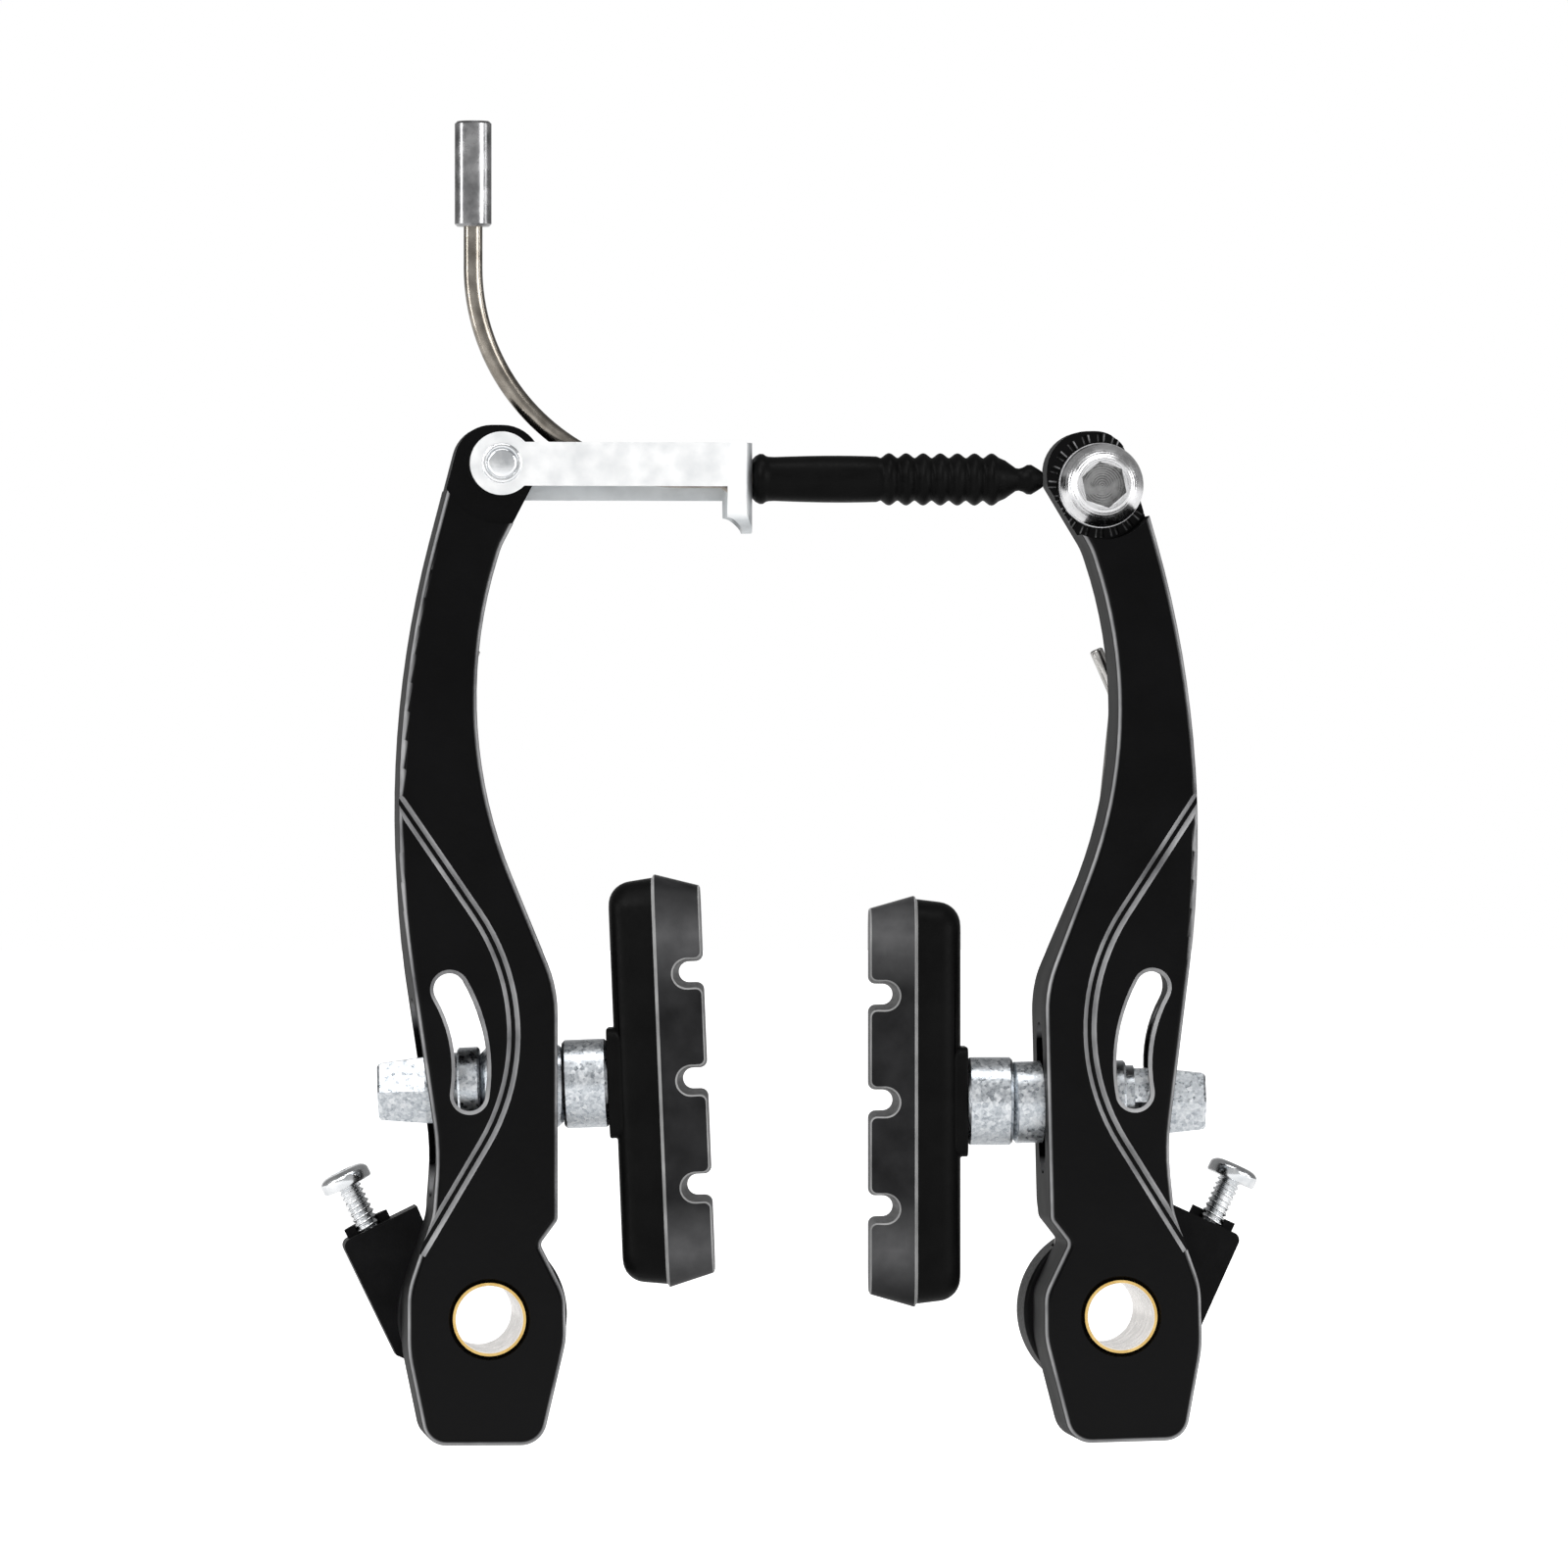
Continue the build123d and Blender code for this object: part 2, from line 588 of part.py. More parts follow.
def noodle_link():
    """The folded link: front and back plates, rounded end wall with its key slot and tongue."""
    bend_x = LINK_END_X - LINK_BEND_R
    width = LINK_BACK_Y - LINK_FRONT_Y
    ear = disc(EAR_R, LINK_PIN_X, PIN_Z) - disc(RIVET_R + RUN_FIT, LINK_PIN_X, PIN_Z)
    start = LINK_PIN_X + EAR_R * math.cos(math.asin((PIN_Z - LINK_FRONT_LOW_Z) / EAR_R)) - SLIP
    plates = []
    for low, back in ((LINK_FRONT_LOW_Z, LINK_FRONT_Y + LINK_T), (LINK_BACK_LOW_Z, LINK_BACK_Y)):
        strip = Rectangle(bend_x - start, LINK_TOP_Z - low)
        strip = Pos((start + bend_x) / 2, (low + LINK_TOP_Z) / 2) * strip
        plates.append(slab(ear + strip, back, back - LINK_T))
    outer = Pos(bend_x, NOODLE_Y) * RectangleRounded(2 * LINK_BEND_R, width, LINK_BEND_R - FACE_GAP)
    hollow = Pos(bend_x, NOODLE_Y) * RectangleRounded(2 * (LINK_BEND_R - LINK_T), width - 2 * LINK_T,
                                                      LINK_BEND_R - LINK_T - FACE_GAP)
    half = Pos(bend_x + LINK_BEND_R / 2, NOODLE_Y) * Rectangle(LINK_BEND_R, width)
    wall = Pos(0, 0, TONGUE_TIP_Z) * extrude((outer - hollow) & half, LINK_TOP_Z - TONGUE_TIP_Z)
    upper = Rectangle(width, LINK_TOP_Z - LINK_FRONT_LOW_Z)
    upper = Pos(NOODLE_Y, (LINK_FRONT_LOW_Z + LINK_TOP_Z) / 2) * upper
    tip = TONGUE_TIP_Z + TONGUE_TIP_R
    tongue = Pos(NOODLE_Y, tip) * Circle(TONGUE_TIP_R)
    tongue += make_face(Polyline(
        (NOODLE_Y - TONGUE_TIP_R, tip),
        (NOODLE_Y + TONGUE_TIP_R, tip),
        (NOODLE_Y + width / 2, LINK_FRONT_LOW_Z),
        (NOODLE_Y - width / 2, LINK_FRONT_LOW_Z),
        close=True,
    ))
    wall &= bar(upper + tongue, bend_x, LINK_END_X)
    key = Pos(NOODLE_Y, NOODLE_Z) * Circle(NOSE_R + LOOSE_FIT)
    key += Pos(NOODLE_Y, NOODLE_Z + REACH / 2) * Rectangle(KEY_SLOT_W, REACH)
    return plates[0] + plates[1] + wall - bar(key, bend_x, LINK_END_X)


def link_rivet():
    """The rivet through the left head and both ears, with a raised centre on its front head."""
    front = LINK_FRONT_Y - RIVET_HEAD_H
    back = LINK_BACK_Y + RIVET_HEAD_H
    head = disc(RIVET_HEAD_R, PIN_X, PIN_Z)
    body = slab(disc(RIVET_R, PIN_X, PIN_Z), back, front)
    body += slab(head, LINK_FRONT_Y - FACE_GAP, front) + slab(head, back, LINK_BACK_Y + FACE_GAP)
    return body + slab(disc(RIVET_TIP_R, PIN_X, PIN_Z), LINK_FRONT_Y, front - RIVET_TIP_H)


def noodle_path():
    """The noodle's centre line, from the ferrule down and round to its nose."""
    points = [
        (NOODLE_X, FERRULE_Z[0]),
        (NOODLE_X, NOODLE_Z),
        (LINK_END_X - LINK_T - NOSE_COLLAR_L, NOODLE_Z),
    ]
    return Plane.XZ.offset(-NOODLE_Y) * FilletPolyline(*points, radius=NOODLE_BEND_R)


def noodle_tube():
    """The bent tube."""
    path = noodle_path()
    start = Plane(origin=path @ 0, z_dir=path % 0)
    return sweep(start * (Circle(TUBE_R) - Circle(TUBE_BORE_R)), path=path)


def noodle_ferrule():
    """The socket for the cable housing at the top of the noodle."""
    low, high = FERRULE_Z
    body = chamfer(extrude(Circle(FERRULE_R), high - low).edges().filter_by(GeomType.CIRCLE), FERRULE_BEVEL)
    body -= Pos(0, 0, FERRULE_FLOOR) * extrude(Circle(SOCKET_R), high)
    return Pos(NOODLE_X, NOODLE_Y, low) * (body - extrude(Circle(TUBE_BORE_R), high))


def turned_x(points, start):
    """A turned piece about the noodle's axis from (distance along x, radius) points."""
    return Pos(start, NOODLE_Y, NOODLE_Z) * revolve(make_face(Polyline(*points, close=True)), Axis.X)


def noodle_nose():
    """The bush at the noodle's end: a collar behind the end wall and a nose through it."""
    start = LINK_END_X - LINK_T - NOSE_COLLAR_L
    end = NOSE_END_X - start
    points = [
        (0, TUBE_BORE_R),
        (0, TUBE_R),
        (NOSE_COLLAR_L / 2, NOSE_COLLAR_R),
        (NOSE_COLLAR_L - NOSE_COLLAR_BEVEL, NOSE_COLLAR_R),
        (NOSE_COLLAR_L, NOSE_R),
        (end, NOSE_R),
        (end, TUBE_BORE_R),
    ]
    return turned_x(points, start)


def noodle_boot():
    """The rubber boot: collar, sleeve, ribs, cone and tip, hollow for the cable."""
    length = BOOT_TIP_X - BOOT_START_X
    bulge, bulge_r = BOOT_TIP_BULGE
    neck, neck_r = BOOT_NECK
    points = list(BOOT_COLLAR) + [BOOT_SLEEVE_END]
    for index in range(RIBS):
        crest = RIB_START + index * RIB_PITCH + RIB_PITCH / 2
        points.append((crest - RIB_LAND / 2, RIB_R))
        points.append((crest + RIB_LAND / 2, RIB_R))
        if index < RIBS - 1:
            points.append((crest + RIB_PITCH / 2, RIB_VALLEY_R))
    last = RIB_START + RIBS * RIB_PITCH
    nose = NOSE_END_X - BOOT_START_X
    points += [(length - neck, neck_r), (length - bulge, bulge_r), (length, BOOT_TIP_R), (length, CABLE_R)]
    bore = RIB_VALLEY_R - BOOT_WALL
    points += [(length - neck, CABLE_R), (last, bore), (nose + SLIP, bore)]
    points += [(nose + SLIP, NOSE_R + RUN_FIT), (0, NOSE_R + RUN_FIT)]
    return turned_x(points, BOOT_START_X)


def anchor_washer():
    """The washer that clamps the cable on the serrated face."""
    ring = disc(ANCHOR_WASHER_R, ANCHOR_X, ANCHOR_Z) - disc(ANCHOR_R + LOOSE_FIT, ANCHOR_X, ANCHOR_Z)
    return slab(ring, RIGHT_HEAD_FRONT_Y, RIGHT_HEAD_FRONT_Y - ANCHOR_WASHER_T)


def anchor_bolt():
    """The button-head bolt with its hexagon socket."""
    back = RIGHT_HEAD_FRONT_Y - ANCHOR_WASHER_T
    dome = (ANCHOR_HEAD_R + ANCHOR_TOP_R) / 2
    profile = [
        Line((0, 0), (ANCHOR_HEAD_R, 0)),
        Line((ANCHOR_HEAD_R, 0), (ANCHOR_HEAD_R, ANCHOR_RIM_H)),
        ThreePointArc((ANCHOR_HEAD_R, ANCHOR_RIM_H), (dome, (ANCHOR_RIM_H + 2 * ANCHOR_HEAD_H) / 3),
                      (ANCHOR_TOP_R, ANCHOR_HEAD_H)),
        Line((ANCHOR_TOP_R, ANCHOR_HEAD_H), (0, ANCHOR_HEAD_H)),
        Line((0, ANCHOR_HEAD_H), (0, 0)),
    ]
    head = revolve(Plane.XZ * make_face(profile), Axis.Z)
    hexagon = RegularPolygon(HEX_AF / math.sqrt(3), 6, rotation=HEX_TURN)
    head -= Pos(0, 0, ANCHOR_HEAD_H - HEX_DEPTH) * extrude(hexagon, HEX_DEPTH)
    head -= Pos(0, 0, ANCHOR_HEAD_H - HEX_LEAD_DEPTH) * extrude(Circle(HEX_LEAD_R), HEX_LEAD_DEPTH)
    body = Pos(ANCHOR_X, back, ANCHOR_Z) * Rot(90, 0, 0) * head
    return body + slab(disc(ANCHOR_R, ANCHOR_X, ANCHOR_Z), BEAM_BACK_Y, back)


def left(shape):
    """Places a piece of the left arm."""
    return Pos(-PIVOT_SPACING / 2, 0, 0) * shape


def right(shape):
    """Mirrors a left-hand piece and places it on the right arm."""
    return Pos(PIVOT_SPACING / 2, 0, 0) * Rot(0, -RIGHT_LEAN, 0) * mirror(shape, Plane.YZ)


def pad_set(side):
    """The pad pieces of one side, still in the arm's own frame."""
    turn = pad_turn(side)
    lift = Pos(0, 0, PAD_HEIGHT[side])
    inner_r = INNER_BALL_R[side]
    return {
        "dome_inner": lift * dome(1, inner_r),
        "dome_outer": lift * dome(-1, BALL_R),
        "cup_inner": turn * cup(1, inner_r, INNER_SHOW[side], CUP_R, CUP_T, CUP_BEVEL),
        "cup_outer": turn * cup(-1, BALL_R, DOME_SHOW, OUTER_CUP_R, OUTER_CUP_T[side], OUTER_CUP_BEVEL),
        "flat_washer": turn * flat_washer(side),
        "pad_nut": turn * pad_nut(side),
        "pad_post": turn * pad_post(side),
        "pad_block": turn * pad_block(side),
    }


def build():
    """Builds every node, placed in the brake frame."""
    nodes = {"left_arm": left(left_arm()), "right_arm": right(right_arm())}
    shared = {
        "spring_peg": spring_peg(),
        "pivot_sleeve": pivot_sleeve(),
        "spring_holder": spring_holder(),
        "return_spring": return_spring(),
        "tension_screw": tension_screw(),
    }
    for name, shape in shared.items():
        nodes["left_" + name] = left(shape)
        nodes["right_" + name] = right(shape)
    for name, shape in pad_set(0).items():
        nodes["left_" + name] = left(shape)
    for name, shape in pad_set(1).items():
        nodes["right_" + name] = right(shape)
    nodes["noodle_link"] = noodle_link()
    nodes["link_rivet"] = left(link_rivet())
    nodes["noodle_tube"] = noodle_tube()
    nodes["noodle_ferrule"] = noodle_ferrule()
    nodes["noodle_nose"] = noodle_nose()
    nodes["noodle_boot"] = noodle_boot()
    nodes["anchor_washer"] = right(anchor_washer())
    nodes["anchor_bolt"] = right(anchor_bolt())
    return nodes


os.makedirs("parts", exist_ok=True)
for node, shape in build().items():
    export_step(shape, "parts/" + node + ".step")
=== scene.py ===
"""Looks of the linear-pull brake: finishes, wire, screws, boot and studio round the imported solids.

Metres, in the same frame as the solids: the origin is midway between the pivots, +Z up, front towards -Y.
"""
import logging
import math
from dataclasses import dataclass
from enum import Enum

import bmesh
import bpy
from mathutils import Matrix, Vector


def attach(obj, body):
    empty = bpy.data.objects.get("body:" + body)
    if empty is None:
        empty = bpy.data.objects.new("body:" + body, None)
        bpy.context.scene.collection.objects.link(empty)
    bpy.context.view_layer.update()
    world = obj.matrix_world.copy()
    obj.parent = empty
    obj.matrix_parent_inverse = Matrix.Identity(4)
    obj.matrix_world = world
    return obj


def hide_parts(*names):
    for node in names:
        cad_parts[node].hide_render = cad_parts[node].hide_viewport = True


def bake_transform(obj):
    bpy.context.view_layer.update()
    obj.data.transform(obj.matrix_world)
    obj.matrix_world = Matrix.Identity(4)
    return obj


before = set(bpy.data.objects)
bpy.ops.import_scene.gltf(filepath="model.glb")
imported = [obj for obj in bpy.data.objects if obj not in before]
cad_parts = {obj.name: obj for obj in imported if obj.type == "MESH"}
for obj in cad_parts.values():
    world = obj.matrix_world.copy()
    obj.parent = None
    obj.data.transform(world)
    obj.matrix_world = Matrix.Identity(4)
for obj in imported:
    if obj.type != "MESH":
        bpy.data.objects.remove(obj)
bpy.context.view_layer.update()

LOG = logging.getLogger("brake")
MM = 0.001

Point = tuple[float, float, float]
Color = tuple[float, float, float]
Pair = tuple[float, float]
Tones = tuple[Color, Color]
Stops = tuple[tuple[float, Color], ...]
Socket = bpy.types.NodeSocket
Material = bpy.types.Material
Feeds = dict[str | int, Socket | float | Point]
Layer = tuple[Socket, float]
Mesh = bmesh.types.BMesh
Vert = bmesh.types.BMVert

NONE: Color = (0.0, 0.0, 0.0)
FULL: Color = (1.0, 1.0, 1.0)
NOISE_MIDDLE: Pair = (0.3, 0.7)
MIX_INPUTS, MIX_OUTPUT = (0, 6, 7), 2
WAVE_SCALE = 20.0
WIRE_END: tuple[Pair, ...] = ((0.0, 1.0), (0.12, 0.92), (0.25, 0.72))
WELD_SHARE = 50
FLAT_ANGLE = math.radians(0.5)
FEW_LAYERS = 2.0

PIVOT_SPACING = 77.1
PIVOT: Point = (PIVOT_SPACING / 2 * MM, 0.0, 0.0)
ANCHOR: Point = (0.03657, -0.016, 0.10138)


class Side(Enum):
    """The two arms of the brake, with the sign of x and the lean of each."""

    LEFT = ("left", 1.0, 0.0)
    RIGHT = ("right", -1.0, 1.4)

    def node(self, name: str) -> str:
        """The side's own name of a piece or body."""
        return f"{self.value[0]}_{name}"

    def matrix(self) -> Matrix:
        """Takes a left-hand place in millimetres from its pivot to the brake's frame in metres.

        Returns:
            The matrix, which mirrors and leans the right-hand side.
        """
        _, sign, lean = self.value
        spot = Matrix.Translation((-sign * PIVOT_SPACING / 2 * MM, 0.0, 0.0))
        turn = Matrix.Rotation(math.radians(-lean), 4, "Y")
        return spot @ turn @ Matrix.Diagonal((sign * MM, MM, MM, 1.0))


class NodeTree:
    """A tree of nodes, with short calls for the few kinds that the finishes and the studio use."""

    def __init__(self, tree: bpy.types.NodeTree) -> None:
        """Keeps the tree that the calls add to."""
        self.tree = tree

    def link(self, source: Socket, target: Socket) -> None:
        """Joins two sockets."""
        self.tree.links.new(source, target)

    def node(self, kind: str, feeds: Feeds | None = None, **settings: str) -> bpy.types.NodeOutputs:
        """Adds a shader node.

        Args:
            kind: The node's kind.
            feeds: Its inputs, by name or number, each fixed or from another node.
            settings: Its own settings.

        Returns:
            The node's outputs.
        """
        node = self.tree.nodes.new(f"ShaderNode{kind}")
        for key, value in settings.items():
            setattr(node, key, value)
        for key, value in (feeds or {}).items():
            if isinstance(value, Socket):
                self.link(value, node.inputs[key])
            else:
                node.inputs[key].default_value = value
        return node.outputs

    def math(self, operation: str, first: Socket, second: Socket | float = 0.0) -> Socket:
        """Works on one or two values."""
        return self.node("Math", {0: first, 1: second}, operation=operation)[0]

    def product(self, first: Socket, *others: Socket | float) -> Socket:
        """Multiplies values.

        Args:
            first: The first value.
            others: The values that it is multiplied by.

        Returns:
            The result.
        """
        for other in others:
            first = self.math("MULTIPLY", first, other)
        return first

    def vector(self, operation: str, first: Socket, second: Point = NONE) -> Socket:
        """Works on a vector with a fixed one, and gives a vector or its length."""
        outputs = self.node("VectorMath", {0: first, 1: second}, operation=operation)
        return outputs["Value" if operation == "LENGTH" else "Vector"]

    def axis(self, vector: Socket, letter: str) -> Socket:
        """One of a vector's three parts."""
        return self.node("SeparateXYZ", {0: vector})[letter]

    def step(self, value: Socket, start: float, end: float, low: float = 0.0, high: float = 1.0) -> Socket:
        """Goes from one number to another while a value goes from its start to its end."""
        ends = {"From Min": start, "From Max": end, "To Min": low, "To Max": high}
        return self.node("MapRange", {"Value": value} | ends)["Result"]

    def mix(self, share: Socket | float, low: Socket | float, high: Socket) -> Socket:
        """Goes from one value to another by a share."""
        return self.node("Mix", {"Factor": share, "A": low, "B": high})["Result"]

    def ramp(self, value: Socket, *stops: tuple[float, Color]) -> Socket:
        """Turns a value into a colour.

        Args:
            value: The value's socket.
            stops: Places from 0 to 1 with their colours.

        Returns:
            The colour's socket.
        """
        color = self.node("ValToRGB", {"Fac": value})["Color"]
        marks = color.node.color_ramp.elements
        while len(marks) < len(stops):
            marks.new(0.5)
        for mark, (place, tone) in zip(marks, stops):
            mark.position = place
            mark.color = (*tone, 1.0)
        return color


class NodeSheet(NodeTree):
    """A material's nodes, laid out by the coordinates of the object that wears it."""

    def __init__(self, name: str, **values: float | Color) -> None:
        """Starts a material with object coordinates and plain values on the shader's own sockets.

        Args:
            name: The material's name.
            values: Socket names with _ for a space, and their values.
        """
        self.material = bpy.data.materials.new(name)
        self.material.use_nodes = True
        super().__init__(self.material.node_tree)
        self.shader = self.tree.nodes["Principled BSDF"]
        self.coords = self.node("TexCoord")["Object"]
        for key, value in values.items():
            socket = self.shader.inputs[key.replace("_", " ")]
            socket.default_value = (*value, 1.0) if isinstance(value, tuple) else value

    def placed(self, origin: Point = NONE, stretch: Point = FULL) -> Socket:
        """Object coordinates counted from a point in metres and stretched along each axis."""
        return self.vector("MULTIPLY", self.vector("SUBTRACT", self.coords, origin), stretch)

    def noise(self, size: float, detail: float = 3.0, stretch: Point = FULL) -> Socket:
        """Soft noise with a grain in millimetres, some finer layers and a stretch along each axis."""
        feeds = {"Scale": 1.0 / (size * MM), "Detail": detail, "Vector": self.placed(stretch=stretch)}
        return self.node("TexNoise", feeds)["Fac"]

    def cells(self, size: float) -> Socket:
        """Flat crystal patches of a size in millimetres, with one colour each."""
        return self.node("TexVoronoi", {"Scale": 1.0 / (size * MM), "Vector": self.coords})["Color"]

    def rings(self, pitch: float, waver: float, origin: Point) -> Socket:
        """Turning marks round an axis that runs to the front.

        Args:
            pitch: The distance between two marks in millimetres.
            waver: How uneven they are.
            origin: A point on the axis.

        Returns:
            The marks' height.
        """
        scale = math.tau / (WAVE_SCALE * (pitch * MM))
        feeds = {"Scale": scale, "Distortion": waver, "Vector": self.placed(origin)}
        return self.node("TexWave", feeds, wave_type="RINGS", rings_direction="Y")["Fac"]

    def part(self, letter: str) -> Socket:
        """One of the object coordinates in metres."""
        return self.axis(self.coords, letter)

    def slant(self) -> Socket:
        """How far a surface faces the front or the back: 1 square to the pivots, 0 on walls along them."""
        return self.math("ABSOLUTE", self.axis(self.node("TexCoord")["Normal"], "Y"))

    def from_axis(self, spot: Point) -> tuple[Socket, Socket]:
        """A point's place round an axis that runs to the front, on either side of the brake.

        Args:
            spot: A point on the right-hand axis, in metres.

        Returns:
            The distance in millimetres and the angle in turns.
        """
        shift = self.vector("SUBTRACT", self.vector("ABSOLUTE", self.coords), spot)
        flat = self.vector("MULTIPLY", shift, (1.0 / MM, 0.0, 1.0 / MM))
        angle = self.math("ARCTAN2", self.axis(flat, "Z"), self.axis(flat, "X"))
        return self.vector("LENGTH", flat), self.product(angle, 1.0 / math.tau)

    def blended(self, share: Socket, low: Socket, high: Socket) -> Socket:
        """Goes from one colour to another by a share."""
        return self.node("Mix", dict(zip(MIX_INPUTS, (share, low, high))), data_type="RGBA")[MIX_OUTPUT]

    def cloudy(self, noise: Socket, tones: Tones, high: float = NOISE_MIDDLE[1]) -> Socket:
        """Turns a noise into a colour between a dark and a light tone, which it reaches at a high value."""
        return self.ramp(noise, (NOISE_MIDDLE[0], tones[0]), (high, tones[1]))

    def spread(self, noise: Socket, low: float, high: float) -> Socket:
        """Maps the middle of a noise's range onto two values."""
        return self.step(noise, *NOISE_MIDDLE, low, high)

    def finished(self, color: Socket, rough: Socket, *layers: Layer) -> Material:
        """Gives the shader its colour, roughness and fine relief.

        Args:
            color: The colour.
            rough: The roughness.
            layers: Heights with their depth in millimetres, one over the other.

        Returns:
            The finished material.
        """
        below = {}
        for height, depth in layers:
            feeds = {"Strength": 1.0, "Distance": depth * MM, "Height": height}
            below = {"Normal": self.node("Bump", feeds | below)["Normal"]}
        for key, socket in ({"Base Color": color, "Roughness": rough} | below).items():
            self.link(socket, self.shader.inputs[key])
        return self.material


@dataclass(frozen=True)
class BlackPaint:
    """Gloss black paint on the forged arms, with painted highlight: a pale colour on the rounded edges and
    the anchor's teeth.
    """

    face: Tones = ((0.0010, 0.0010, 0.0011), (0.0018, 0.0018, 0.0020))
    # Pale colour of the painted highlight on rounded edges, chamfers and groove walls.
    edge: Tones = ((0.13, 0.13, 0.135), (0.34, 0.34, 0.345))
    specular: float = 0.1
    patch: float = 6.0
    peel: Pair = (1.1, 0.004)
    rough: Pair = (0.13, 0.18)
    wall_slant: Pair = (0.9, 0.2)
    wall_rough: float = 0.42
    # Which slants of surface get the painted highlight.
    rounding: Stops = ((0.3, NONE), (0.55, FULL), (0.75, FULL), (0.93, NONE))
    bore_edge: Pair = (5.4, 5.9)
    # Painted highlight on the edges of the cable anchor's teeth, set by angle round the anchor.
    teeth: float = 20.0
    teeth_turn: float = 1.4 / 360.0
    teeth_ring: Pair = (5.3, 6.4)
    teeth_fade: float = 0.1
    teeth_y: Pair = (-0.0150, -0.0154)
    teeth_highlight_patch: float = 0.9
    tooth: Stops = (
        (0.12, NONE), (0.16, FULL), (0.21, FULL), (0.25, NONE),
        (0.75, NONE), (0.79, FULL), (0.84, FULL), (0.88, NONE))

    def teeth_highlight(self, sheet: NodeSheet) -> Socket:
        """Where the painted highlight marks the edges of the cable anchor's teeth.

        Args:
            sheet: The paint's nodes.

        Returns:
            The share of painted highlight.
        """
        far, turns = sheet.from_axis(ANCHOR)
        inner, outer = self.teeth_ring
        count = sheet.product(sheet.math("ADD", turns, self.teeth_turn), self.teeth)
        return sheet.product(
            sheet.step(far, inner, inner + self.teeth_fade),
            sheet.step(far, outer, outer - self.teeth_fade),
            sheet.ramp(sheet.math("FRACT", count), *self.tooth),
            sheet.step(sheet.part("X"), 0.0, MM),
            sheet.step(sheet.part("Y"), *self.teeth_y),
            sheet.spread(sheet.noise(self.teeth_highlight_patch, FEW_LAYERS), 0.0, 1.0))

    def material(self) -> Material:
        """Builds the paint with a faint orange peel, glossier on the faces than on the walls, and with
        painted highlight on the edges.

        Returns:
            The finish.
        """
        sheet = NodeSheet("gloss_black_paint", Metallic=0.0, Specular_IOR_Level=self.specular)
        patch = sheet.noise(self.patch)
        slant = sheet.slant()
        clear, _ = sheet.from_axis(PIVOT)
        # Painted highlight: pale colour on slanted surfaces away from the bore, and on the anchor's teeth.
        rounded = sheet.product(sheet.ramp(slant, *self.rounding), sheet.step(clear, *self.bore_edge))
        painted_highlight = sheet.math("MAXIMUM", rounded, self.teeth_highlight(sheet))
        color = sheet.blended(painted_highlight, sheet.cloudy(patch, self.face), sheet.cloudy(patch, self.edge))
        wall = sheet.product(sheet.step(slant, *self.wall_slant), self.wall_rough)
        rough = sheet.math("ADD", sheet.spread(patch, *self.rough), wall)
        grain, depth = self.peel
        return sheet.finished(color, rough, (sheet.noise(grain, FEW_LAYERS), depth))


@dataclass(frozen=True)
class Moulding:
    """Matt black rubber or plastic with a fine mould grain."""

    name: str
    tones: Tones
    cloud: Pair = (4.0, 5.0)
    grain: Pair = (0.5, 0.012)
    waves: tuple[Pair, ...] = ((5.0, 0.03),)
    rough: Pair = (0.36, 0.5)
    specular: float = 0.05

    def tone(self, sheet: NodeSheet) -> Socket:
        """The moulding's cloudy colour."""
        return sheet.cloudy(sheet.noise(*self.cloud), self.tones)

    def material(self) -> Material:
        """Builds the moulding with its soft, finely pitted skin.

        Returns:
            The finish.
        """
        sheet = NodeSheet(self.name, Metallic=0.0, Specular_IOR_Level=self.specular)
        size, depth = self.grain
        grain = sheet.noise(size, detail=4.0)
        waves = [(sheet.noise(size), depth) for size, depth in self.waves]
        return sheet.finished(self.tone(sheet), sheet.spread(grain, *self.rough), (grain, depth), *waves)


@dataclass(frozen=True)
class FrictionRubber(Moulding):
    """The pads' friction rubber, with a painted sheen: a paler soft band near each end."""

    # Colour of the painted sheen near the ends.
    painted_sheen: Tones = ((0.062, 0.062, 0.064), (0.092, 0.092, 0.094))
    painted_sheen_cloud: float = 3.0
    middle: float = 0.02715
    half_length: float = 0.026
    band: Stops = ((0.48, NONE), (0.74, FULL), (0.97, NONE))

    def tone(self, sheet: NodeSheet) -> Socket:
        """The rubber's colour with its two bands of painted sheen.

        Args:
            sheet: The rubber's nodes.

        Returns:
            The colour's socket.
        """
        far = sheet.math("ABSOLUTE", sheet.math("SUBTRACT", sheet.part("Z"), self.middle))
        share = sheet.ramp(sheet.math("DIVIDE", far, self.half_length), *self.band)
        painted_sheen = sheet.cloudy(sheet.noise(self.painted_sheen_cloud), self.painted_sheen)
        return sheet.blended(share, super().tone(sheet), painted_sheen)


@dataclass(frozen=True)
class MottledZinc:
    """Zinc plate with the crystal patches of the washers, nuts and posts."""

    tones: Stops = ((0.3, (0.34, 0.37, 0.40)), (0.5, (0.56, 0.59, 0.62)), (0.7, (0.76, 0.78, 0.80)))
    patch: float = 0.5
    patch_share: float = 0.4
    speckle: Pair = (0.35, 0.02)
    rough: Pair = (0.24, 0.42)

    def material(self) -> Material:
        """Builds the plate with patches, speckle and a little relief.

        Returns:
            The finish.
        """
        sheet = NodeSheet("mottled_zinc", Metallic=1.0)
        size, depth = self.speckle
        speckle = sheet.noise(size, detail=6.0)
        tone = sheet.mix(self.patch_share, speckle, sheet.cells(self.patch))
        color, rough = sheet.ramp(tone, *self.tones), sheet.spread(tone, *self.rough)
        return sheet.finished(color, rough, (speckle, depth))


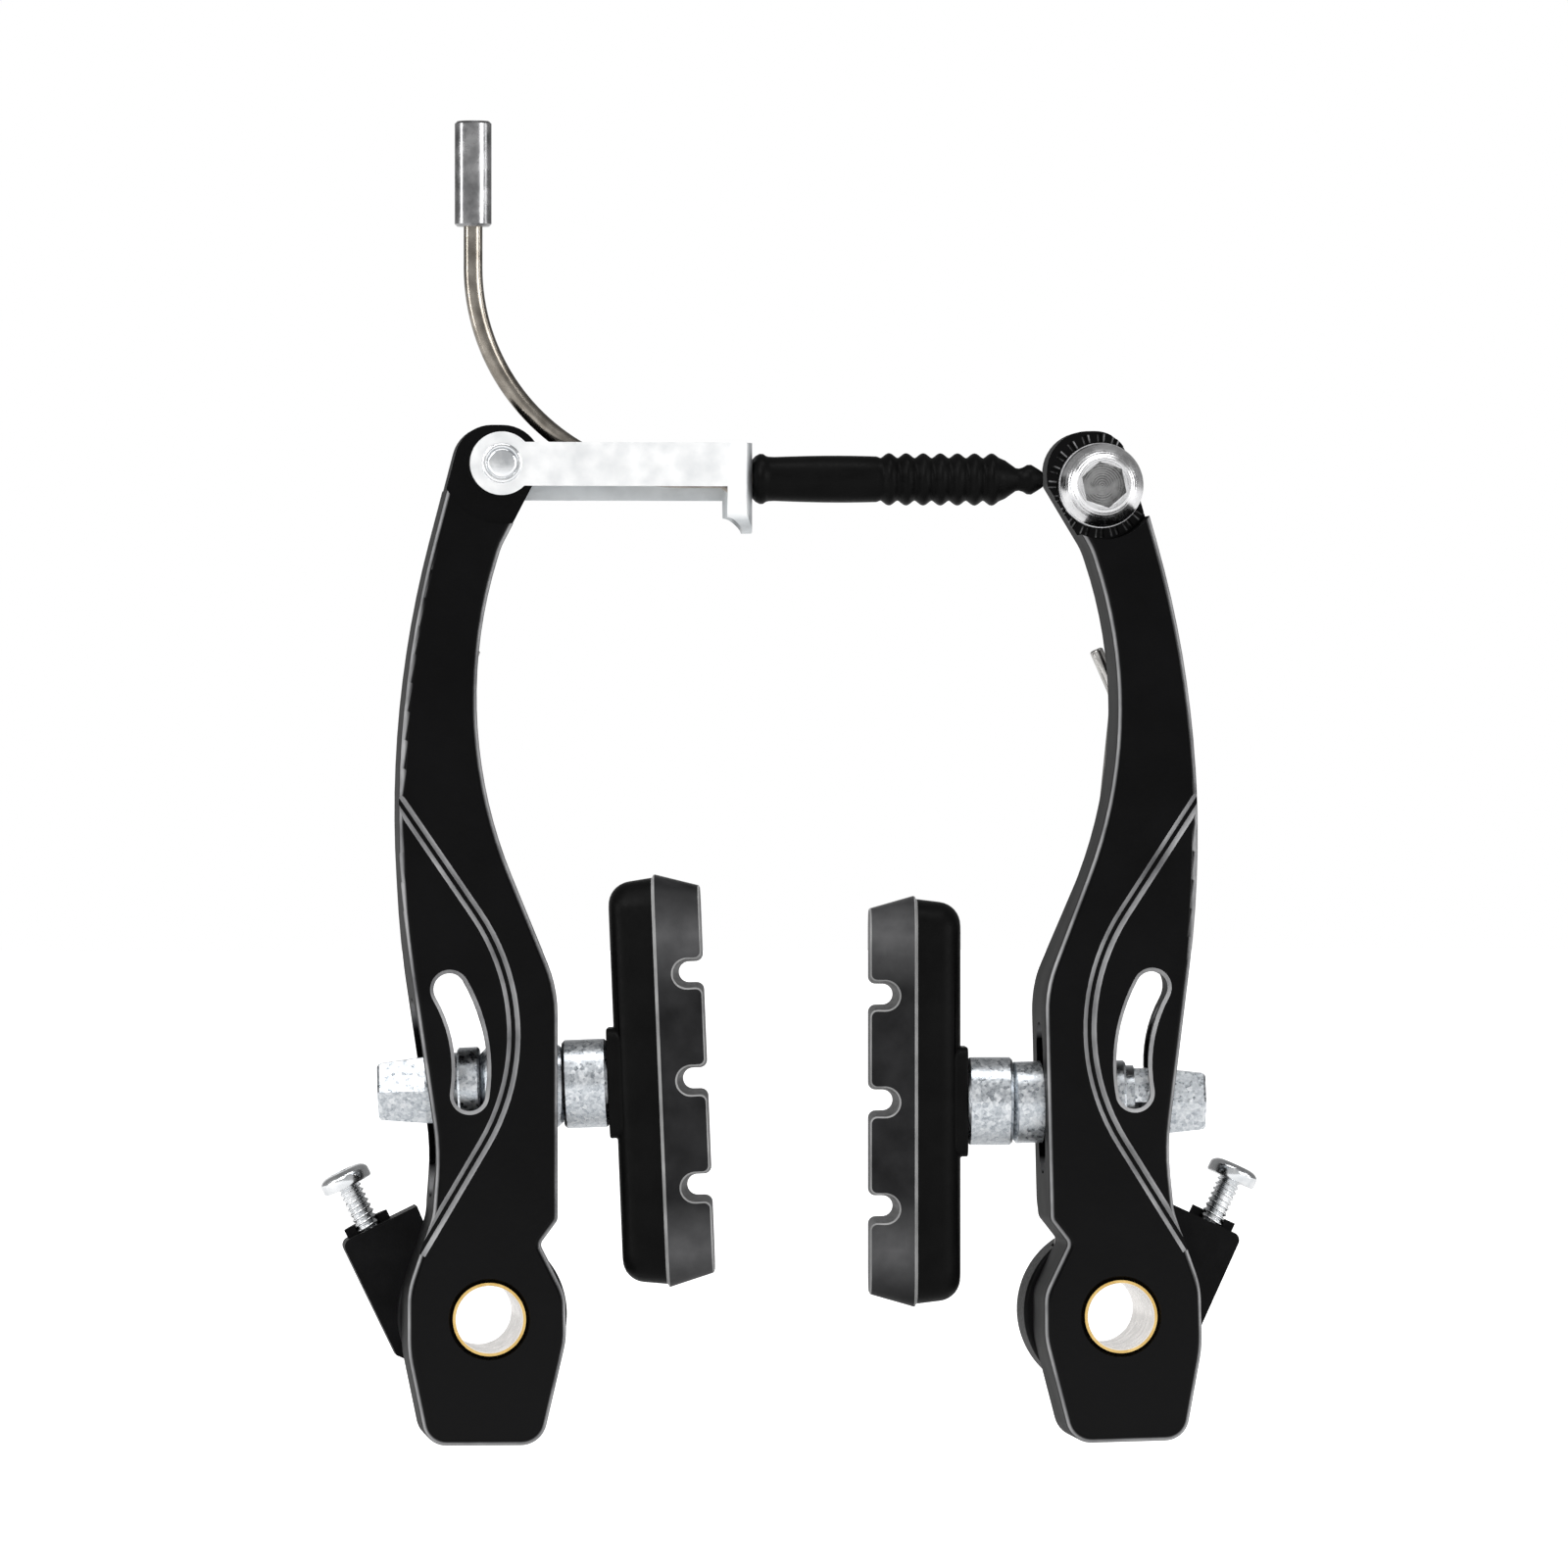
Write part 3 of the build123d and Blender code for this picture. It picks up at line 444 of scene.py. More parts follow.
@dataclass(frozen=True)
class Metal:
    """Metal whose colour and gloss follow one soft noise."""

    name: str
    tones: Tones
    rough: Pair = (0.16, 0.3)
    cloud: Pair = (1.5, 4.0)
    cloud_high: float = NOISE_MIDDLE[1]

    def tone(self, sheet: NodeSheet, cloud: Socket) -> Socket:
        """The metal's colour, which follows the noise."""
        return sheet.cloudy(cloud, self.tones, self.cloud_high)

    def relief(self, sheet: NodeSheet) -> list[Layer]:
        """The metal's fine relief, one layer over the other."""
        return []

    def material(self) -> Material:
        """Builds the metal.

        Returns:
            The finish.
        """
        sheet = NodeSheet(self.name, Metallic=1.0)
        cloud = sheet.noise(*self.cloud)
        color, rough = self.tone(sheet, cloud), sheet.spread(cloud, *self.rough)
        return sheet.finished(color, rough, *self.relief(sheet))


@dataclass(frozen=True)
class BrightPlate(Metal):
    """Bright plating with a slight waviness and rolling marks."""

    cloud: Pair = (2.2, 5.0)
    cloud_high: float = 0.65
    wave: Pair = (3.5, 0.03)
    scratch: Pair = (0.25, 0.004)
    streak: Point = (0.08, 1.0, 1.0)

    def relief(self, sheet: NodeSheet) -> list[Layer]:
        """Fine scratches along the plate, and dents."""
        (fine, scratch), (wide, dent) = self.scratch, self.wave
        return [(sheet.noise(fine, FEW_LAYERS, self.streak), scratch), (sheet.noise(wide, FEW_LAYERS), dent)]


@dataclass(frozen=True)
class FoldedPlate(BrightPlate):
    """Bright plate with painted shade inside its fold."""

    # Darker colour of the painted shade inside the fold, between the front and back plates.
    inside: Tones = ((0.58, 0.605, 0.62), (0.66, 0.685, 0.70))
    front: Pair = (-0.0194, -0.0189)
    back: Pair = (-0.0115, -0.0118)

    def tone(self, sheet: NodeSheet, cloud: Socket) -> Socket:
        """The plate's colour outside the fold, and with painted shade inside it.

        Args:
            sheet: The plate's nodes.
            cloud: The noise that it follows.

        Returns:
            The colour's socket.
        """
        depth = sheet.part("Y")
        # Painted shade: the share that lies inside the fold.
        share = sheet.product(sheet.step(depth, *self.front), sheet.step(depth, *self.back))
        inside = sheet.cloudy(cloud, self.inside, self.cloud_high)
        return sheet.blended(share, super().tone(sheet, cloud), inside)


@dataclass(frozen=True)
class BrassSleeve(Metal):
    """Turned brass of the pivot sleeves, with a painted reflection: a pale colour on the bore."""

    # Pale colour of the painted reflection in the bore.
    bore: Tones = ((0.80, 0.76, 0.72), (0.90, 0.87, 0.84))
    split: Pair = (4.08, 4.14)
    marks: Pair = (0.2, 0.004)
    streak: Point = (1.0, 0.1, 1.0)

    def tone(self, sheet: NodeSheet, cloud: Socket) -> Socket:
        """The colour of the bore, a painted reflection, and of the brass round it."""
        outside = sheet.step(sheet.from_axis(PIVOT)[0], *self.split)
        return sheet.blended(outside, sheet.cloudy(cloud, self.bore), super().tone(sheet, cloud))

    def relief(self, sheet: NodeSheet) -> list[Layer]:
        """Fine turning marks."""
        size, depth = self.marks
        return [(sheet.noise(size, FEW_LAYERS, self.streak), depth)]


@dataclass(frozen=True)
class AnchorSteel(Metal):
    """Turned steel of the cable anchor, with painted shade in the bolt's socket."""

    # Darker colour of the painted shade deep in the socket.
    socket: Tones = ((0.16, 0.16, 0.16), (0.34, 0.34, 0.34))
    socket_r: Pair = (3.1, 3.0)
    socket_y: Pair = (-0.0203, -0.0202)
    pitch: float = 0.3
    waver: float = 0.4
    depth: float = 0.012

    def tone(self, sheet: NodeSheet, cloud: Socket) -> Socket:
        """The colour of the steel and of the painted shade in the socket.

        Args:
            sheet: The steel's nodes.
            cloud: The noise that it follows.

        Returns:
            The colour's socket.
        """
        # Painted shade: darker where the socket is deep.
        deep = sheet.step(sheet.part("Y"), *self.socket_y)
        socket_shade = sheet.product(sheet.step(sheet.from_axis(ANCHOR)[0], *self.socket_r), deep)
        return sheet.blended(socket_shade, super().tone(sheet, cloud), sheet.cloudy(cloud, self.socket))

    def relief(self, sheet: NodeSheet) -> list[Layer]:
        """Turning marks round the bolt."""
        return [(sheet.rings(self.pitch, self.waver, ANCHOR), self.depth)]


def dress(finishes: dict[str, Material]) -> list[str]:
    """Gives solids their finish in place of the imported one.

    Args:
        finishes: The solids' names with their finishes.

    Returns:
        The solids' names.
    """
    for node, material in finishes.items():
        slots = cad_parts[node].data.materials
        slots.clear()
        slots.append(material)
    return list(finishes)


def put_down(name: str, mesh: Mesh) -> bpy.types.Object:
    """Puts a closed mesh into the scene.

    Args:
        name: The object's name.
        mesh: The mesh, which is freed.

    Returns:
        The new object.
    """
    bmesh.ops.recalc_face_normals(mesh, faces=mesh.faces)
    data = bpy.data.meshes.new(name)
    mesh.to_mesh(data)
    mesh.free()
    piece = bpy.data.objects.new(name, data)
    bpy.context.scene.collection.objects.link(piece)
    return piece


def new_piece(name: str, mesh: Mesh, *materials: Material, crease: float | None = None) -> bpy.types.Object:
    """Turns a finished mesh into a smooth-shaded piece of the scene.

    Args:
        name: The piece's name.
        mesh: The closed mesh, which is freed.
        materials: The piece's finishes.
        crease: The least angle in degrees of an edge that stays sharp, if any does.

    Returns:
        The new object.
    """
    piece = put_down(name, mesh)
    for material in materials:
        piece.data.materials.append(material)
    piece.data.shade_smooth()
    if crease:
        piece.data.set_sharp_from_angle(angle=math.radians(crease))
    return piece


def skin(mesh: Mesh, rows: list[list[Vert]]) -> None:
    """Closes a row of loops with sides and two ends.

    Args:
        mesh: The mesh that holds the loops.
        rows: Loops with the same number of points.
    """
    for low, high in zip(rows, rows[1:]):
        for step in range(len(low)):
            after = (step + 1) % len(low)
            mesh.faces.new((low[step], low[after], high[after], high[step]))
    mesh.faces.new(rows[0][::-1])
    mesh.faces.new(rows[-1])


def around(sides: int) -> list[Pair]:
    """The cosine and sine of equal steps round a circle."""
    return [(math.cos(math.tau * step / sides), math.sin(math.tau * step / sides)) for step in range(sides)]


def add_tube(mesh: Mesh, path: list[Vector], radii: list[float], sides: int = 20) -> None:
    """Adds a round wire with slightly rounded ends along a path.

    Args:
        mesh: The mesh to add to.
        path: The wire's centre line.
        radii: The wire's radius at each point of the path.
        sides: How many sides the wire has.
    """
    last = len(path) - 1
    tangents = [(path[min(i + 1, last)] - path[max(i - 1, 0)]).normalized() for i in range(len(path))]
    across = tangents[0].orthogonal().normalized()
    rows = []
    for index, (spot, tangent, radius) in enumerate(zip(path, tangents, radii)):
        across = (across - tangent * across.dot(tangent)).normalized()
        up = tangent.cross(across)
        sizes = list(WIRE_END) if index == last else [WIRE_END[0]]
        if index == 0:
            sizes = [(-shift, share) for shift, share in reversed(WIRE_END)]
        for shift, share in sizes:
            middle = spot + tangent * (shift * radius)
            outs = [across * cos + up * sin for cos, sin in around(sides)]
            rows.append([mesh.verts.new(middle + out * (radius * share)) for out in outs])
    skin(mesh, rows)


def add_lathe(mesh: Mesh, profile: list[Pair], sides: int = 64, closed: bool = False) -> None:
    """Adds a turned form about +Z.

    Args:
        mesh: The mesh to add to.
        profile: Points as (height, radius); a radius of 0 at an end closes the form.
        sides: How many sides it has.
        closed: Whether the profile is a loop, as on a hollow piece.
    """
    rows = []
    for height, radius in profile:
        if radius <= 0.0:
            rows.append([mesh.verts.new((0.0, 0.0, height))])
            continue
        rows.append([mesh.verts.new((radius * cos, radius * sin, height)) for cos, sin in around(sides)])
    pairs = list(zip(rows, rows[1:]))
    if closed:
        pairs.append((rows[-1], rows[0]))
    for low, high in pairs:
        for step in range(sides):
            after = (step + 1) % sides
            places = ((low, step), (low, after), (high, after), (high, step))
            corners = [row[place % len(row)] for row, place in places]
            mesh.faces.new(list(dict.fromkeys(corners)))


def smooth_path(corners: list[Vector], rounds: int = 3) -> list[Vector]:
    """Rounds the corners of a path by cutting them.

    Args:
        corners: The path's points.
        rounds: How often the corners are cut.

    Returns:
        The rounded path with the same ends.
    """
    path = corners
    for _ in range(rounds):
        cut = [path[0]]
        for start, end in zip(path, path[1:]):
            cut += [start.lerp(end, 0.25), start.lerp(end, 0.75)]
        path = cut + [path[-1]]
    return path


@dataclass
class ArmSet:
    """One forged arm with the peg that its spring presses on."""

    side: Side
    paint: Material
    plate: Material

    def build(self) -> list[str]:
        """Dresses the arm and its peg, and gives their names."""
        return dress({self.side.node("arm"): self.paint, self.side.node("spring_peg"): self.plate})


@dataclass
class SpringSet:
    """The fixed pieces of one side: sleeve, spring holder, wire spring and tension screw."""

    side: Side
    brass: Material
    plastic: Material
    wire: Material
    plate: Material
    wire_r: float = 0.85
    coil_r: float = 6.3
    coil_back: float = -2.5
    coil_steps: int = 60
    leg_y: float = -5.2
    leg_steps: int = 24
    turns: float = 1.5
    pin_r: float = 0.6
    pin_step: float = 0.3
    pin_slope: float = 0.05
    pin_out: float = 5.0
    pin_root: Pair = (-0.2, -1.2)
    kink: Pair = (-3.3, 75.5)
    kink_round: Pair = (0.03, 0.45)
    tip: Pair = (-0.9, 81.3)
    bend_z: Pair = (4.0, 68.0)
    block_top: tuple[Pair, Pair] = ((-17.1, 8.7), (-7.9, 13.2))
    screw_along: float = 0.38
    screw_y: float = -3.0
    screw_r: float = 1.5
    root_r: float = 1.2
    pitch: float = 0.7
    screw_out: float = 5.8
    screw_in: float = 8.5
    thread_sides: int = 36
    thread_rows: int = 10
    thread_flank: Pair = (1.35, 0.12)
    thread_top: float = 0.2
    lead: Pair = (0.6, 0.75)
    head_r: float = 3.15
    head_h: float = 2.0
    head_foot: tuple[Pair, ...] = ((0.0, 0.25), (0.08, 0.08), (0.3, 0.0))
    dome: Pair = (0.95, 1.5)
    dome_steps: int = 8
    cross: Point = (3.7, 0.8, 2.4)
    cross_foot: float = 0.62
    cross_turns: Pair = (20.0, 110.0)
    crease: float = 40.0

    def wire_path(self) -> list[Vector]:
        """The spring's centre line in the arm's own millimetres.

        Returns:
            Points from the boss pin round the coil and up the leg.
        """
        reach = math.hypot(*self.kink)
        turn = math.atan2(self.kink[1], self.kink[0]) - math.acos(self.coil_r / reach)
        coil = []
        for step in range(self.coil_steps + 1):
            share = step / self.coil_steps
            angle = turn - math.tau * self.turns * (1.0 - share)
            depth = self.coil_back + (self.leg_y - self.coil_back) * share
            coil.append(Vector((self.coil_r * math.cos(angle), depth, self.coil_r * math.sin(angle))))
        start = coil[0]
        top = self.pin_out - WIRE_END[-1][0] * self.pin_r
        ends = (top, self.pin_step + self.pin_slope, self.pin_step - self.pin_slope, *self.pin_root)
        pin = [Vector((start.x, y, start.z)) for y in ends]
        foot = coil[-1]
        kink = Vector((self.kink[0], self.leg_y, self.kink[1]))
        tip = Vector((self.tip[0], self.leg_y, self.tip[1]))
        leg = [foot.lerp(kink, step / self.leg_steps) for step in range(1, self.leg_steps)]
        before, after = self.kink_round
        bend = smooth_path([kink.lerp(foot, before), kink, kink.lerp(tip, after)])
        return pin[:3] + smooth_path([*pin[3:], start, coil[2]], 2) + coil[3:] + leg + bend + [tip]

    def spring(self) -> str:
        """Makes the wire spring, which runs from the holder's pin round the coil and up to the arm.

        Returns:
            The piece's name.
        """
        mesh = bmesh.new()
        path = self.wire_path()
        add_tube(mesh, path, [self.pin_r if spot.y > self.pin_step else self.wire_r for spot in path])
        mesh.transform(self.side.matrix())
        piece = new_piece(self.side.node("spring_wire"), mesh, self.wire)
        spots = zip((self.coil_r, self.kink[0]), self.bend_z)
        low, high = (self.side.matrix() @ Vector((x, self.leg_y, z)) for x, z in spots)
        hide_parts(self.side.node("return_spring"))
        self.side.node("arm")
        tuple(low)
        tuple(high)
        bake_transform(piece)
        return piece.name

    def screw_matrix(self) -> Matrix:
        """The tension screw's own axes, +Z out of the block's top face.

        Returns:
            The matrix in the arm's own millimetres.
        """
        (ax, az), (bx, bz) = self.block_top
        along = Vector((bx - ax, 0.0, bz - az)).normalized()
        out = Vector((-along.z, 0.0, along.x))
        spot = Vector((ax + self.screw_along * (bx - ax), self.screw_y, az + self.screw_along * (bz - az)))
        turn = Matrix((Vector((0.0, 1.0, 0.0)), out.cross(Vector((0.0, 1.0, 0.0))), out)).transposed()
        return Matrix.Translation(spot) @ turn.to_4x4()

    def screw_head(self) -> Mesh:
        """The domed head with its cross recess.

        Returns:
            The head in the screw's own millimetres.
        """
        head = bmesh.new()
        r, low, high = self.head_r, self.screw_out, self.screw_out + self.head_h
        rise, inset = self.dome
        profile = [(low, 0.0), *((low + up, r - cut) for up, cut in self.head_foot), (high - rise, r)]
        for step in range(1, self.dome_steps + 1):
            angle = math.radians(90.0 * step / self.dome_steps)
            profile.append((high - rise + rise * math.sin(angle), r - inset * (1.0 - math.cos(angle))))
        add_lathe(head, profile + [(high, 0.0)])
        cutter = bmesh.new()
        long, thick, deep = self.cross
        for turn in self.cross_turns:
            arm = bmesh.ops.create_cube(cutter, size=1.0)["verts"]
            for vert in arm:
                wide = 1.0 if vert.co.z > 0 else self.cross_foot
                vert.co = Vector((vert.co.x * long * wide, vert.co.y * thick, high + vert.co.z * deep))
            bmesh.ops.rotate(cutter, verts=arm, matrix=Matrix.Rotation(math.radians(turn), 3, "Z"))
        return joined(head, cutter, Join.CUT)

    def thread(self, mesh: Mesh) -> None:
        """Adds the threaded shank to a mesh.

        Args:
            mesh: The mesh to add to, in the screw's own millimetres.
        """
        low, high = -self.screw_in, self.screw_out + self.thread_top
        steep, flat = self.thread_flank
        lead, point = self.lead[0], self.root_r * self.lead[1]
        rows = []
        count = int((high - low) / self.pitch * self.thread_rows)
        for row in range(count + 1):
            height = low + (high - low) * row / count
            most = point + (self.screw_r - point) * min(1.0, (height - low) / lead)
            ring = []
            for step, (cos, sin) in enumerate(around(self.thread_sides)):
                phase = (height / self.pitch - step / self.thread_sides) % 1.0
                flank = min(1.0, max(0.0, abs(phase - 0.5) * 2.0 * steep - flat))
                radius = min(self.screw_r - (self.screw_r - self.root_r) * (1.0 - flank), most)
                ring.append(mesh.verts.new((radius * cos, radius * sin, height)))
            rows.append(ring)
        skin(mesh, rows)

    def screw(self) -> str:
        """Makes the tension screw with its thread and cross recess.

        Returns:
            The piece's name.
        """
        mesh = self.screw_head()
        self.thread(mesh)
        mesh.transform(self.side.matrix() @ self.screw_matrix())
        piece = new_piece(self.side.node("threaded_screw"), mesh, self.plate, crease=self.crease)
        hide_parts(self.side.node("tension_screw"))
        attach(piece, self.side.node("screw"))
        return piece.name

    def build(self) -> list[str]:
        """Dresses the fixed solids and makes the wire and the screw.

        Returns:
            The names of the pieces.
        """
        node = self.side.node
        fixed = dress({node("pivot_sleeve"): self.brass, node("spring_holder"): self.plastic})
        dress({node("return_spring"): self.wire, node("tension_screw"): self.plate})
        return [*fixed, self.spring(), self.screw()]


class Join(Enum):
    """How two closed meshes become one."""

    CUT = "DIFFERENCE"
    ADD = "UNION"


def joined(body: Mesh, other: Mesh, join: Join) -> Mesh:
    """Takes one closed mesh out of another, or adds it.

    Args:
        body: The first mesh, which is freed.
        other: The mesh to take away or add, which is freed.
        join: Which of the two it is.

    Returns:
        The resulting mesh.
    """
    made = [put_down("cut", mesh) for mesh in (body, other)]
    tool = made[0].modifiers.new("join", "BOOLEAN")
    tool.operation = join.value
    tool.solver = "EXACT"
    tool.use_self = True
    tool.object = made[1]
    depsgraph = bpy.context.evaluated_depsgraph_get()
    result = bmesh.new()
    result.from_mesh(made[0].evaluated_get(depsgraph).to_mesh())
    for obj in made:
        data = obj.data
        bpy.data.objects.remove(obj)
        bpy.data.meshes.remove(data)
    return result


def round_edges(mesh: Mesh, width: float, degrees: float) -> list[bmesh.types.BMFace]:
    """Rounds a mesh's steep edges.

    Args:
        mesh: The closed mesh.
        width: The width of the rounding.
        degrees: The least angle of an edge that is rounded.

    Returns:
        The faces of the rounding.
    """
    bmesh.ops.remove_doubles(mesh, verts=mesh.verts, dist=width / WELD_SHARE)
    bmesh.ops.dissolve_limit(mesh, angle_limit=FLAT_ANGLE, verts=mesh.verts, edges=mesh.edges)
    steep = math.radians(degrees)
    edges = [edge for edge in mesh.edges if edge.is_manifold and edge.calc_face_angle() > steep]
    made = bmesh.ops.bevel(
        mesh, geom=edges, offset=width, offset_type="OFFSET", segments=2, profile=0.5, affect="EDGES")
    return made["faces"]


@dataclass(frozen=True)
class PadPlace:
    """Where a pad sits on its arm: the back's distance along the post, its height, toe-in and tilt."""

    start: float
    height: float
    toe: float
    tilt: float


PAD_PLACES = {Side.LEFT: PadPlace(15.94, 1.4, 6.0, 2.3), Side.RIGHT: PadPlace(18.29, -0.5, -4.0, 1.4)}


@dataclass
class PadSet:
    """One pad with its post, washers and nut, in the arm's own millimetres."""

    side: Side
    backing: Material
    friction: Material
    painted_highlight: Material
    zinc: Material
    ball: Point = (4.675, -13.75, 26.7)
    size: Point = (13.0, 50.3, 4.6)
    least_corner: float = 0.5
    corner_steps: int = 10
    back_t: float = 5.5
    front_t: float = 5.6
    back_taper: float = 7.0
    front_taper: float = 16.0
    back_round: float = 2.8
    back_steps: int = 8
    step: float = 0.4
    boss: Point = (9.6, 13.4, 1.6)
    boss_t: float = 0.9
    notch_pitch: float = 13.0
    notch_depth: float = 3.0
    notch_w: float = 2.4
    notch_draft: float = 2.6
    notch_mouth: float = 0.9
    mouth_steps: int = 6
    floor_steps: int = 9
    notch_over: Pair = (1.0, 2.0)
    edge: float = 0.2
    edge_steep: float = 30.0
    ridge_slack: float = 0.01
    crease: float = 14.0
    fittings: tuple[str, ...] = (
        "dome_inner", "dome_outer", "cup_inner", "cup_outer", "flat_washer", "pad_nut", "pad_post")

    @property
    def start(self) -> float:
        """The pad's back along the post."""
        return PAD_PLACES[self.side].start

    @property
    def ridge(self) -> float:
        """The step between the backing and the friction part along the post."""
        return self.start + self.back_t

    def loop(self, mesh: Mesh, size: Point, x: float, inset: float = 0.0) -> list[Vert]:
        """Adds a rounded rectangle square to the post.

        Args:
            mesh: The mesh to add to.
            size: Width, length and corner radius.
            x: The distance along the post.
            inset: How far it lies inside that size.

        Returns:
            The loop's points.
        """
        wide, long = size[0] / 2 - inset, size[1] / 2 - inset
        corner = max(size[2] - inset, self.least_corner)
        verts = []
        for index, (sy, sz) in enumerate(((1, 1), (-1, 1), (-1, -1), (1, -1))):
            for step in range(self.corner_steps + 1):
                angle = math.radians(90.0 * (index + step / self.corner_steps))
                y = sy * (wide - corner) + corner * math.cos(angle)
                z = sz * (long - corner) + corner * math.sin(angle)
                verts.append(mesh.verts.new((x, self.ball[1] + y, self.ball[2] + z)))
        return verts

    def blank(self) -> Mesh:
        """The pad's backing and friction part before the notches.

        Returns:
            The closed mesh.
        """
        mesh = bmesh.new()
        lean = math.radians(self.back_taper)
        foot = self.step + self.back_t * math.tan(lean)
        flat = foot + self.back_round / math.tan((math.pi / 2 + lean) / 2)
        profile = []
        for index in range(self.back_steps + 1):
            angle = (math.pi / 2 - lean) * index / self.back_steps
            out = self.start + self.back_round * (1.0 - math.cos(angle))
            profile.append((out, flat - self.back_round * math.sin(angle)))
        profile += [(self.ridge, self.step), (self.ridge, 0.0)]
        profile.append((self.ridge + self.front_t, self.front_t * math.tan(math.radians(self.front_taper))))
        skin(mesh, [self.loop(mesh, self.size, x, inset) for x, inset in profile])
        return mesh

    def notches(self) -> Mesh:
        """The three notches across the friction face, wider towards the front, with rounded mouths.

        Returns:
            The closed cutters.
        """
        mesh = bmesh.new()
        face = self.ridge + self.front_t
        side_over, face_over = self.notch_over
        reach = self.size[0] / 2 + side_over
        for index in (-1, 0, 1):
            rows = []
            for y in (reach, -reach):
                half = self.notch_w / 2 + (self.size[0] / 2 - y) * math.tan(math.radians(self.notch_draft))
                bend, floor = self.notch_mouth, face - self.notch_depth + self.notch_w / 2
                wide, low = half + bend, face - bend
                flank = [(face + face_over, wide)]
                for step in range(self.mouth_steps + 1):
                    angle = math.radians(90.0 * step / self.mouth_steps)
                    flank.append((low + bend * math.cos(angle), wide - bend * math.sin(angle)))
                for step in range(self.floor_steps + 1):
                    angle = math.radians(90.0 + 90.0 * step / self.floor_steps)
                    flank.append((floor + half * math.cos(angle), half * math.sin(angle)))
                profile = flank + [(x, -z) for x, z in reversed(flank[:-1])]
                mid = self.ball[2] + index * self.notch_pitch
                rows.append([mesh.verts.new((x, self.ball[1] + y, mid + z)) for x, z in profile])
            skin(mesh, rows)
        return mesh

    def turn(self) -> Matrix:
        """Raises the pad in its slot and turns it on its domes.

        Returns:
            The matrix in the arm's own millimetres.
        """
        place = PAD_PLACES[self.side]
        ball = Vector(self.ball)
        tilt = Matrix.Rotation(math.radians(-place.tilt), 4, "Y")
        toe = Matrix.Rotation(math.radians(-place.toe), 4, "Z")
        raised = ball + Vector((0.0, 0.0, place.height))
        return Matrix.Translation(raised) @ tilt @ toe @ Matrix.Translation(-ball)

    def block(self) -> str:
        """Makes the moulded pad with its rounded edges.

        Returns:
            The piece's name.
        """
        boss = bmesh.new()
        ends = (self.start - self.boss_t, self.start + self.back_round)
        skin(boss, [self.loop(boss, self.boss, x) for x in ends])
        mesh = joined(joined(self.blank(), self.notches(), Join.CUT), boss, Join.ADD)
        finishes = (self.backing, self.friction, self.painted_highlight)
        rounded = round_edges(mesh, self.edge, self.edge_steep)
        for face in mesh.faces:
            face.material_index = int(face.calc_center_median().x > self.ridge + self.ridge_slack)
        # The friction part's rounded edges get the pale painted highlight material.
        for face in rounded:
            if face.calc_center_median().x > self.ridge - self.edge:
                face.material_index = finishes.index(self.painted_highlight)
        mesh.transform(self.side.matrix() @ self.turn())
        piece = new_piece(self.side.node("moulded_pad"), mesh, *finishes, crease=self.crease)
        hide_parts(self.side.node("pad_block"))
        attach(piece, self.side.node("pad"))
        return piece.name

    def build(self) -> list[str]:
        """Dresses the fittings, makes the pad and gives their names."""
        dress({self.side.node("pad_block"): self.backing})
        return [*dress({self.side.node(name): self.zinc for name in self.fittings}), self.block()]


